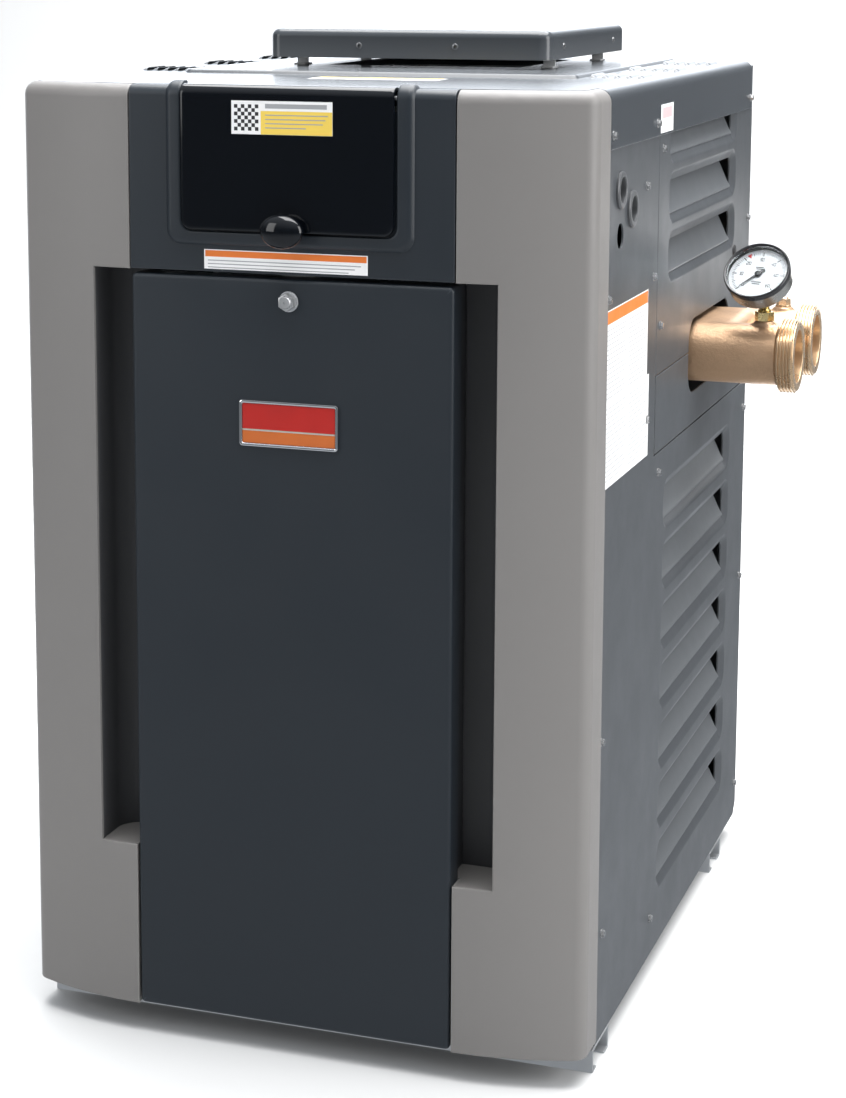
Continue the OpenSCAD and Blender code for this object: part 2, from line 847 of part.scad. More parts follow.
module exchanger_tubes() {
    fins = 24;
    first = fire_left + 12;
    step = (fire_right - fire_left - 24) / fins;
    wall_r = tube_r - 1.4;
    length = tube_right - tube_left;
    profile = concat([[wall_r, 0], [tube_r, 0]],
        [for (i = [0:fins - 1], k = [0:3]) let (x = first - tube_left + i * step)
            [k == 0 || k == 3 ? tube_r : 17, k < 2 ? x : x + 3]],
        [[tube_r, length], [wall_r, length]]);
    color(copper) in_frame() for (i = [0:tubes - 1])
        translate([tube_left, tube_y(i), port_z]) rotate(along_x)
        rotate_extrude() polygon(profile);
}

// Bolt places round a header, in its YZ plane
bolt_at = [for (y = [-2, -1, 1, 2], z = [-1, 1])
    [core_y + y * (header_half - 8) / 2, port_z + z * (header_h / 2 - 5)]];

module header_plate(x, t, r) {
    translate([x, 0, 0]) rotate([90, 0, 90]) linear_extrude(t) difference() {
        translate([core_y - header_half, port_z - header_h / 2])
            square([2 * header_half, header_h]);
        holes_at(bolt_at, bolt_r + 0.1);
        for (i = [0:tubes - 1]) translate([tube_y(i), port_z]) circle(r);
    }
}

module tube_sheets() {
    color([0.45, 0.42, 0.38]) in_frame() {
        header_plate(tube_left, fire_left - tube_left, tube_r + bore_gap);
        header_plate(fire_right, tube_right - fire_right, tube_r + bore_gap);
    }
}

module exchanger_baffles() {
    z = port_z + 9;
    color(zinc) in_frame() {
        for (i = [0:tubes - 2]) translate([fire_left + 8, tube_y(i) + tube_pitch / 2, z])
            rotate([90, 0, 90]) linear_extrude(fire_right - fire_left - 16)
            polygon([[-9, 14], [0, 3], [9, 14], [9, 15.5], [0, 4.5], [-9, 15.5]]);
        for (y = [fire_front, fire_rear - sheet])
            box([fire_left + 0.5, y, fire_top], [fire_right - 0.5, y + sheet, fire_top + 66]);
    }
}

module thread_ring(x, y) {
    turns = 5;
    pitch = 3.5;
    major = 36.7;
    rod([x, y, port_z], major - 1.6, turns * pitch, along_x);
    for (i = [0:turns - 1]) rod([x + i * pitch, y, port_z], major, pitch * 0.6, along_x);
}

module water_header() {
    back = tube_right + 6;
    ring_x = face_x - 17.5;
    low = port_z - header_h / 2;
    color(bronze) in_frame() difference() {
        union() {
            box([tube_right, core_y - header_half, low],
                [header_x, core_y + header_half, low + header_h]);
            box([header_x - 1, inlet_y, port_z - 30], [305, outlet_y, port_z + 30]);
            for (y = [inlet_y, outlet_y]) {
                rod([header_x - 1, y, port_z], 30, ring_x + 2 - header_x, along_x);
                thread_ring(ring_x, y);
            }
            rod([gauge_base[0], gauge_base[1], port_z + 27], 10, 7, along_z);
            rod([gauge_base[0], outlet_y, port_z + 27], 10, 7, along_z);
        }
        for (s = [-1, 1]) box([tube_right - 1, core_y + s * (wall_half + header_half - 10) / 2
                - (header_half - 10 - wall_half) / 2, port_z - chamber_h / 2],
            [back + 20, core_y + s * (wall_half + header_half - 10) / 2
                + (header_half - 10 - wall_half) / 2, port_z + chamber_h / 2]);
        for (y = [inlet_y, outlet_y]) {
            rod([back, y, port_z], port_r - 1.25, face_x - back + 1, along_x);
            rod([face_x - socket, y, port_z], port_r, socket + 1, along_x);
        }
        rod([bypass_x, core_y - wall_half - 1, port_z], 7, 2 * wall_half + 2, along_y);
        rod([gauge_base[0], gauge_base[1], port_z + 22], 4.9, 14, along_z);
        rod([gauge_base[0], outlet_y, port_z + 22], 6, 14, along_z);
        for (p = bolt_at) rod([tube_right - 1, p[0], p[1]], bolt_r + 0.1, 40, along_x);
    }
    // Bridge that guides the bypass poppet's stem
    color(bronze) in_frame() difference() {
        box([tube_right + 2, core_y + wall_half + 20, port_z - chamber_h / 2 - 1],
            [back + 16, core_y + wall_half + 23, port_z + chamber_h / 2 + 1]);
        rod([bypass_x, core_y + wall_half + 15, port_z], 2.55, 12, along_y);
    }
}

module return_header() {
    out = tube_left - 28;
    low = port_z - header_h / 2;
    color([0.30, 0.30, 0.31]) in_frame() difference() {
        box([out, core_y - header_half, low], [tube_left, core_y + header_half, low + header_h]);
        box([out + 8, core_y - header_half + 10, port_z - chamber_h / 2],
            [tube_left + 1, core_y + header_half - 10, port_z + chamber_h / 2]);
        for (p = bolt_at) rod([out - 1, p[0], p[1]], bolt_r + 0.1, 40, along_x);
    }
}

module header_bolts() {
    color(zinc) in_frame() for (p = bolt_at) {
        rod([fire_right + 1, p[0], p[1]], bolt_r, header_x - fire_right, along_x);
        translate([header_x, p[0], p[1]]) rotate(along_x) cylinder(r = 5.2, h = 4, $fn = 6);
        rod([tube_left - 29, p[0], p[1]], bolt_r, fire_left - tube_left + 28, along_x);
        translate([tube_left - 32, p[0], p[1]]) rotate(along_x)
            cylinder(r = 5.2, h = 4, $fn = 6);
    }
}

module header_plug() {
    color(bronze) in_frame() {
        rod([gauge_base[0], outlet_y, port_z + 26], 5.9, 9, along_z);
        translate([gauge_base[0], outlet_y, port_z + 34]) cylinder(r = 7.5, h = 10, $fn = 6);
    }
}

module bypass_poppet() {
    y = core_y + wall_half + 0.2;
    color(brass) in_frame() {
        rod([bypass_x, y, port_z], 8.6, 2.5, along_y);
        rod([bypass_x, y + 2, port_z], 2.5, 24, along_y);
    }
}

module bypass_spring() {
    y = core_y + wall_half + 3;
    color(zinc) in_frame() tube([bypass_x, y, port_z], 6, 4.6, 16.8, along_y);
}

module pressure_switch() {
    at = [222, -28, port_z + header_h / 2];
    color(gloss_black) in_frame() {
        rod(at, 6, 12, along_z);
        rod(at + [0, 0, 12], 17, 24, along_z);
        box(at + [-8, -3, 36], at + [-5, 3, 46]);
        box(at + [5, -3, 36], at + [8, 3, 46]);
    }
}

module limit_switches() {
    color(gloss_black) in_frame() for (y = [215, 250]) {
        rod([216, y, port_z + header_h / 2], 9, 5, along_z);
        rod([216, y, port_z + header_h / 2 + 5], 6, 7, along_z);
    }
}

// --- Gauge --------------------------------------------------------------------------------------------

module at_gauge(out = 0) {
    translate(gauge_base + [0, 0, elbow_h]) rotate(gauge_turn) translate([0, 0, out]) children();
}

module gauge_elbow() {
    color(brass) in_frame() {
        translate(gauge_base + [0, 0, 4]) cylinder(r = 9.5, h = 9, $fn = 6);
        rod(gauge_base + [0, 0, -2], 4.8, elbow_h + 2, along_z);
        translate(gauge_base + [0, 0, elbow_h]) sphere(r = 6.4);
        at_gauge() cylinder(r = 5, h = 12);
    }
}

module gauge_case() {
    color([0.10, 0.10, 0.11]) in_frame() at_gauge(12) rotate_extrude()
        polygon([[0, 0], [gauge_r - 1.5, 0], [gauge_r - 1.5, 20], [gauge_r, 21], [gauge_r, 25],
            [gauge_r - 1, 26], [gauge_r - 3, 26], [gauge_r - 3, 17], [1.1, 17], [1.1, 8], [0, 8]]);
}

module gauge_dial() {
    color([0.93, 0.93, 0.93]) in_frame() at_gauge(29) difference() {
        cylinder(r = gauge_r - 3.2, h = 1);
        translate([0, 0, -1]) cylinder(r = 1.1, h = 3);
    }
}

module gauge_needle() {
    color(gloss_black) in_frame() at_gauge(0) {
        translate([0, 0, 25]) cylinder(r = 1, h = 8);
        translate([0, 0, 31]) cylinder(r = 3.4, h = 1.6);
        rotate(225) translate([-7, -0.8, 31]) cube([29, 1.6, 1]);
    }
}

module gauge_lens() {
    color([0.85, 0.90, 0.92, 0.3]) in_frame() at_gauge(35)
        cylinder(r = gauge_r - 3.2, h = 1.8);
}

// --- Nodes --------------------------------------------------------------------------------------------

base_rails();
base_pan();
left_side_panel();
right_side_panel();
upper_louvre_panel();
header_cover();
rear_panel();
top_cover();
vent_cap();
cap_legs();
left_column();
right_column();
control_fascia();
flip_cover();
cover_knob();
cover_hinge_pin();
front_door();
door_screw();
screw_receiver();
badge_rim();
badge_plate();
cabinet_screws();
conduit_grommets();
control_tray();
control_panel();
display_window();
button_mode();
button_down();
button_up();
control_board();
transformer();
junction_box();
terminal_block();
gas_valve();
gas_valve_knob();
gas_inlet_pipe();
gas_manifold();
gas_orifices();
burner_tray();
burners();
igniter();
firebox();
refractory_panels();
exchanger_tubes();
tube_sheets();
exchanger_baffles();
water_header();
return_header();
header_bolts();
header_plug();
bypass_poppet();
bypass_spring();
pressure_switch();
limit_switches();
flue_collector();
gauge_elbow();
gauge_case();
gauge_dial();
gauge_needle();
gauge_lens();
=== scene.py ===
"""Gas pool heater: its looks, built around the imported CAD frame.

Lengths are millimetres in the cabinet's own axes until at() turns them into the row frame:
X to the right, the front faces -Y, Z up, and the middle of the side panels is at x = y = 0.
"""

import json
import math

import bmesh
import bpy
import numpy as np
from mathutils import Matrix, Vector
from mathutils.geometry import delaunay_2d_cdt


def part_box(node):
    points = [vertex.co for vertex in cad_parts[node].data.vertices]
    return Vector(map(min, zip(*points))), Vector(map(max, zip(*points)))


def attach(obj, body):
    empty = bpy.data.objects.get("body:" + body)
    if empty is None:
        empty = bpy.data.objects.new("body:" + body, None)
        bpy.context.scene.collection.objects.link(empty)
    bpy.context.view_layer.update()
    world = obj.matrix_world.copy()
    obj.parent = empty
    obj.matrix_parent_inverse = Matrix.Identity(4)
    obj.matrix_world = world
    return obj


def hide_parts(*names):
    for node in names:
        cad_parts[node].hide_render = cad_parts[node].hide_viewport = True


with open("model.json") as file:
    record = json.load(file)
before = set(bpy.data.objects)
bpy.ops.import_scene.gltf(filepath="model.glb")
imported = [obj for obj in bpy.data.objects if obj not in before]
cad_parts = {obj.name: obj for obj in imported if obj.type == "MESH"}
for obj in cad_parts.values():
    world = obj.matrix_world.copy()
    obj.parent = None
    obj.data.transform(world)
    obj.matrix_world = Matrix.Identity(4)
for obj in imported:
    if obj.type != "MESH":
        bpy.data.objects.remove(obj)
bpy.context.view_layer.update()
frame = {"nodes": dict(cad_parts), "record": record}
NODES = frame["nodes"]
MM = 0.001

# --- Measures from the frame ---------------------------------------------------------------------

RIGHT_LO, RIGHT_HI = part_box("right_side_panel")
LEFT_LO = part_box("left_side_panel")[0]
CENTRE_X = (LEFT_LO.x + RIGHT_HI.x) / 2
CENTRE_Y = (RIGHT_LO.y + RIGHT_HI.y) / 2


def at(x, y, z):
    """A point in the cabinet's own millimetres, in the row frame."""
    return Vector((CENTRE_X + x * MM, CENTRE_Y + y * MM, z * MM))


def cabinet(p):
    """A point of the row frame, in the cabinet's own millimetres."""
    return Vector(((p[0] - CENTRE_X) / MM, (p[1] - CENTRE_Y) / MM, p[2] / MM))


def span(node):
    """The lowest and highest corner of a CAD node, in the cabinet's own millimetres."""
    lo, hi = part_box(node)
    return cabinet(lo), cabinet(hi)


SHEET = 1.5
PANEL_X = span("right_side_panel")[1].x
PANEL_LOW, PANEL_HIGH = (p.z for p in span("right_side_panel"))
HALF_D = span("right_side_panel")[1].y
HALF_W = span("header_cover")[1].x + SHEET
FRONT_Y = span("front_door")[0].y
DOOR_X = 150.0
FRONT_LOW, FRONT_HIGH = (p.z for p in span("right_column"))
TOP_Z = span("cap_legs")[0].z
RIM_Z = FRONT_HIGH + 1.8
FLUSH_Z = RIM_Z - 0.2
SKIRT_Z = span("top_cover")[0].z
DOOR_LO, DOOR_HI = span("front_door")
ROUND_TOP = 12.0

# --- Outlines ------------------------------------------------------------------------------------


def arc(cx, cy, r, a0, a1, n):
    """Points of an arc in n steps, angles in degrees."""
    angles = [math.radians(a0 + (a1 - a0) * i / n) for i in range(n + 1)]
    return [(cx + r * math.cos(a), cy + r * math.sin(a)) for a in angles]


def round_rect(cx, cy, w, h, r, n=5):
    """A counter-clockwise rectangle with round corners."""
    x, y = w / 2 - r, h / 2 - r
    return [
        *arc(cx + x, cy + y, r, 0, 90, n), *arc(cx - x, cy + y, r, 90, 180, n),
        *arc(cx - x, cy - y, r, 180, 270, n), *arc(cx + x, cy - y, r, 270, 360, n),
    ]


def rect(u0, v0, u1, v1):
    """The corners of a rectangle, counter-clockwise from its first one."""
    return [(u0, v0), (u1, v0), (u1, v1), (u0, v1)]


def circle(cx, cy, r, n=32):
    return arc(cx, cy, r, 0, 360 - 360 / n, n - 1)


def inset(loop, d):
    """A counter-clockwise closed loop moved inwards by d."""
    a = np.array(loop, float)
    before, after = a - np.roll(a, 1, 0), np.roll(a, -1, 0) - a
    before /= np.maximum(np.linalg.norm(before, axis=1, keepdims=True), 1e-9)
    after /= np.maximum(np.linalg.norm(after, axis=1, keepdims=True), 1e-9)
    n1, n2 = np.c_[-before[:, 1], before[:, 0]], np.c_[-after[:, 1], after[:, 0]]
    share = np.maximum(1 + (n1 * n2).sum(1, keepdims=True), 0.3)
    return [tuple(p) for p in a + (n1 + n2) / share * d]


def split_loop(loop, axis, values):
    """The loop with a point added wherever an edge crosses one of the values along the axis."""
    out = []
    for i, p in enumerate(loop):
        q = loop[(i + 1) % len(loop)]
        out.append(p)
        cuts = [(v - p[axis]) / (q[axis] - p[axis]) for v in values
                if min(p[axis], q[axis]) + 1e-4 < v < max(p[axis], q[axis]) - 1e-4]
        out += [(p[0] + (q[0] - p[0]) * k, p[1] + (q[1] - p[1]) * k) for k in sorted(cuts)]
    return out


def within(points, loop):
    """Which of the points lie inside the loop."""
    x, y = points[:, 0], points[:, 1]
    hit = np.zeros(len(points), bool)
    for (x0, y0), (x1, y1) in zip(loop, loop[1:] + loop[:1]):
        if y0 == y1:
            continue
        crosses = (y0 > y) != (y1 > y)
        hit ^= crosses & (x < x0 + (y - y0) * (x1 - x0) / (y1 - y0))
    return hit


def fill_flat(outline, holes, rows=(), cols=()):
    """Points and triangles that fill an outline around its holes, split along rows and columns."""
    points, edges = [], []
    for loop in [outline, *holes]:
        base = len(points)
        points += [Vector(p) for p in loop]
        edges += [(base + i, base + (i + 1) % len(loop)) for i in range(len(loop))]
    lo, hi = np.min(outline, axis=0), np.max(outline, axis=0)
    lines = [((lo[0], v), (hi[0], v)) for v in rows if lo[1] < v < hi[1]]
    lines += [((u, lo[1]), (u, hi[1])) for u in cols if lo[0] < u < hi[0]]
    for a, b in lines:
        edges.append((len(points), len(points) + 1))
        points += [Vector(a), Vector(b)]
    verts, _, faces, *_ = delaunay_2d_cdt(points, edges, [], 0, 1e-4)
    verts = np.array(verts, float)
    faces = np.array(faces)
    middle = verts[faces].mean(1)
    keep = within(middle, list(outline))
    for hole in holes:
        keep &= ~within(middle, list(hole))
    return verts, faces[keep]


# --- Building meshes -----------------------------------------------------------------------------


class Shape:
    """Points and faces of one piece, gathered in the row frame."""

    def __init__(self):
        self.points, self.faces, self.paint = [], [], []

    def add(self, points, faces, paint=0):
        base = len(self.points)
        self.points += [tuple(p) for p in points]
        self.faces += [[base + int(i) for i in f] for f in faces]
        self.paint += [paint] * len(faces)

    def loft(self, loops, paint=0, closed=True, caps=(False, False)):
        """Joins loops of the same number of points, one after the other."""
        n = len(loops[0])
        faces = []
        for k in range(len(loops) - 1):
            for i in range(n if closed else n - 1):
                j = (i + 1) % n
                faces.append([k * n + i, k * n + j, (k + 1) * n + j, (k + 1) * n + i])
        last = (len(loops) - 1) * n
        if caps[0]:
            faces.append(list(range(n))[::-1])
        if caps[1]:
            faces.append([last + i for i in range(n)])
        self.add([p for loop in loops for p in loop], faces, paint)

    def plate(self, outline, place, t=SHEET, holes=(), soft=(), rows=(), cols=(), edge=0.5,
              paint=0):
        """A sheet of thickness t. place(u, v, depth) gives a point, and depth 0 is the outer
        face. Edges are rounded, but another surface carries on from the soft holes."""
        cut = lambda loop: split_loop(split_loop(list(loop), 1, rows), 0, cols)
        outline, holes = cut(outline), [cut(h) for h in holes]
        turned = [(outline, 1)] + [(h, -1) for h in holes]
        inner = [inset(loop, s * (edge + 2.0)) for loop, s in turned]
        for (o, hs), depth in (((inner[0], inner[1:]), 0.0), ((outline, holes), t)):
            verts, tris = fill_flat(o, [*hs, *soft], rows, cols)
            self.add([place(u, v, depth) for u, v in verts], tris, paint)
        steps = [(0, t), (0, edge), (0.3 * edge, 0.3 * edge), (edge, 0), (edge + 2.0, 0)]
        for loop, s in turned:
            self.loft([[place(u, v, d) for u, v in inset(loop, s * k)] for k, d in steps], paint)

    def lathe(self, profile, place, n=48, paint=0, closed=True):
        """Turns a profile of (radius, height) about an axis: place(x, y, height)."""
        turns = [(math.cos(2 * math.pi * i / n), math.sin(2 * math.pi * i / n)) for i in range(n)]
        loops = [[place(r * c, r * s, h) for c, s in turns] for r, h in profile]
        self.loft(loops + ([loops[0]] if closed else []), paint)

    def prism(self, outline, place, low, high, edge, paint=0):
        """An outline raised from low to high, with its upper edges rounded."""
        steps = [(0, low), (0, high - edge), (0.3 * edge, high - 0.3 * edge), (edge, high)]
        loops = [[place(u, v, h) for u, v in inset(outline, k)] for k, h in steps]
        self.loft(loops, paint, caps=(True, True))

    def piece(self, name, body, paints, stands_for=(), slot=None, smooth=35):
        """Makes the object, which rides on the body and stands for its CAD nodes. The slot argument
        is not used."""
        paints = [paints] if isinstance(paints, str) else paints
        mesh = bpy.data.meshes.new(name)
        mesh.from_pydata(self.points, [], self.faces)
        for paint in paints:
            mesh.materials.append(PAINT[paint])
        mesh.polygons.foreach_set("material_index", self.paint)
        bm = bmesh.new()
        bm.from_mesh(mesh)
        bmesh.ops.remove_doubles(bm, verts=bm.verts, dist=2e-6)
        bmesh.ops.dissolve_degenerate(bm, edges=bm.edges, dist=1e-7)
        bmesh.ops.recalc_face_normals(bm, faces=bm.faces)
        bm.to_mesh(mesh)
        bm.free()
        obj = bpy.data.objects.new(name, mesh)
        bpy.context.scene.collection.objects.link(obj)
        finish_piece(obj, body, stands_for, slot or (paints[0] if stands_for else None), smooth)
        return obj


def finish_piece(obj, body, stands_for, slot, smooth):
    """Smooth shading with sharp edges and weighted normals; the piece rides on its body and hides
    the CAD nodes it stands for.
    """
    obj.data.shade_smooth()
    obj.data.set_sharp_from_angle(angle=math.radians(smooth))
    weighted = obj.modifiers.new("WeightedNormal", "WEIGHTED_NORMAL")
    weighted.keep_sharp = True
    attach(obj, body)
    if stands_for:
        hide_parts(*stands_for)


def islands(node):
    """The boxes of the separate solids of a CAD node, in the cabinet's own millimetres."""
    bm = bmesh.new()
    bm.from_mesh(NODES[node].data)
    bmesh.ops.remove_doubles(bm, verts=bm.verts, dist=1e-6)
    bm.verts.ensure_lookup_table()
    seen, boxes = set(), []
    for start in bm.verts:
        if start.index in seen:
            continue
        group, queue = [], [start]
        seen.add(start.index)
        while queue:
            v = queue.pop()
            group.append(v.co)
            for e in v.link_edges:
                w = e.other_vert(v)
                if w.index not in seen:
                    seen.add(w.index)
                    queue.append(w)
        co = np.array(group)
        boxes.append((cabinet(co.min(0)), cabinet(co.max(0))))
    bm.free()
    return sorted(boxes, key=lambda b: tuple(round(v, 1) for v in b[0]))


def on_right(u, v, d):
    return at(PANEL_X - d, u, v)


def on_left(u, v, d):
    return at(d - PANEL_X, u, v)


def on_rear(u, v, d):
    return at(u, HALF_D - d, v)


def on_front(u, v, d):
    return at(u, FRONT_Y + d, v)


def facing(origin, normal):
    """place(x, y, height) on a face at a point, with a normal that is an axis of the frame."""
    turn = Vector(normal).to_track_quat("Z", "Y").to_matrix()
    return lambda x, y, h: at(*(Vector(origin) + turn @ Vector((x, y, h))))


# --- Materials -----------------------------------------------------------------------------------


def node_tools(tree):
    """Short ways to add a node, link two sockets and map a value from one range to another."""

    def node(kind, **values):
        made = tree.nodes.new(kind)
        for key, value in values.items():
            if hasattr(made, key):
                setattr(made, key, value)
            else:
                made.inputs[key].default_value = value
        return made

    def map_range(value, low, high, least, most):
        made = node("ShaderNodeMapRange",
                    **{"From Min": low, "From Max": high, "To Min": least, "To Max": most})
        tree.links.new(value, made.inputs["Value"])
        return made.outputs["Result"]

    return node, tree.links.new, map_range


def surface(name, colour, rough=(0.35, 0.5), metallic=0.0, cloud=5.0, tint=0.05,
            grain=(1200.0, 0.03), worn=None, stretch=(1, 1, 1), coat=0.0, gloss=0.5,
            blotch=None):
    """A procedural finish: colour clouds, uneven roughness, a fine bump and worn edges.
    rough is its least and greatest roughness, grain the bump's scale and depth in millimetres,
    worn a tone and its strength, and blotch a tone, its scale and its strength."""
    made = bpy.data.materials.new(name)
    made.use_nodes = True
    made.node_tree.nodes.clear()
    node, link, map_range = node_tools(made.node_tree)

    def overlay(under, mask, low, high, tone, most):
        """Lays a tone over a colour where the mask passes from low to high."""
        mix = node("ShaderNodeMix", data_type="RGBA", B=(*tone, 1))
        link(map_range(mask, low, high, 0, most), mix.inputs["Factor"])
        link(under, mix.inputs["A"])
        return mix.outputs["Result"]

    coords = node("ShaderNodeTexCoord")
    mapping = node("ShaderNodeMapping", Scale=stretch)
    link(coords.outputs["Object"], mapping.inputs["Vector"])
    shader = node("ShaderNodeBsdfPrincipled", Metallic=metallic)
    shader.inputs["Coat Weight"].default_value = coat
    shader.inputs["Coat Roughness"].default_value = 0.08
    shader.inputs["Specular IOR Level"].default_value = gloss
    out = node("ShaderNodeOutputMaterial")
    link(shader.outputs["BSDF"], out.inputs["Surface"])

    clouds = node("ShaderNodeTexNoise", Scale=cloud, Detail=5.0, Roughness=0.55)
    link(mapping.outputs["Vector"], clouds.inputs["Vector"])
    shade = node("ShaderNodeMix", data_type="RGBA")
    link(clouds.outputs["Fac"], shade.inputs["Factor"])
    shade.inputs["A"].default_value = (*[c * (1 - tint) for c in colour], 1)
    shade.inputs["B"].default_value = (*[min(1, c * (1 + tint)) for c in colour], 1)
    result = shade.outputs["Result"]
    if blotch:
        spots = node("ShaderNodeTexNoise", Scale=blotch[1], Detail=8.0, Roughness=0.7)
        link(mapping.outputs["Vector"], spots.inputs["Vector"])
        result = overlay(result, spots.outputs["Fac"], 0.5, 0.68, blotch[0], blotch[2])
    if worn:
        geometry = node("ShaderNodeNewGeometry")
        result = overlay(result, geometry.outputs["Pointiness"], 0.54, 0.62, *worn)
    link(result, shader.inputs["Base Color"])

    patches = node("ShaderNodeTexNoise", Scale=cloud * 3.7, Detail=6.0, Roughness=0.6)
    link(mapping.outputs["Vector"], patches.inputs["Vector"])
    link(map_range(patches.outputs["Fac"], 0.3, 0.7, *rough), shader.inputs["Roughness"])

    fine = node("ShaderNodeTexNoise", Scale=grain[0], Detail=3.0, Roughness=0.6)
    link(mapping.outputs["Vector"], fine.inputs["Vector"])
    bump = node("ShaderNodeBump", Strength=0.8, Distance=grain[1] * MM)
    link(fine.outputs["Fac"], bump.inputs["Height"])
    link(bump.outputs["Normal"], shader.inputs["Normal"])
    return made


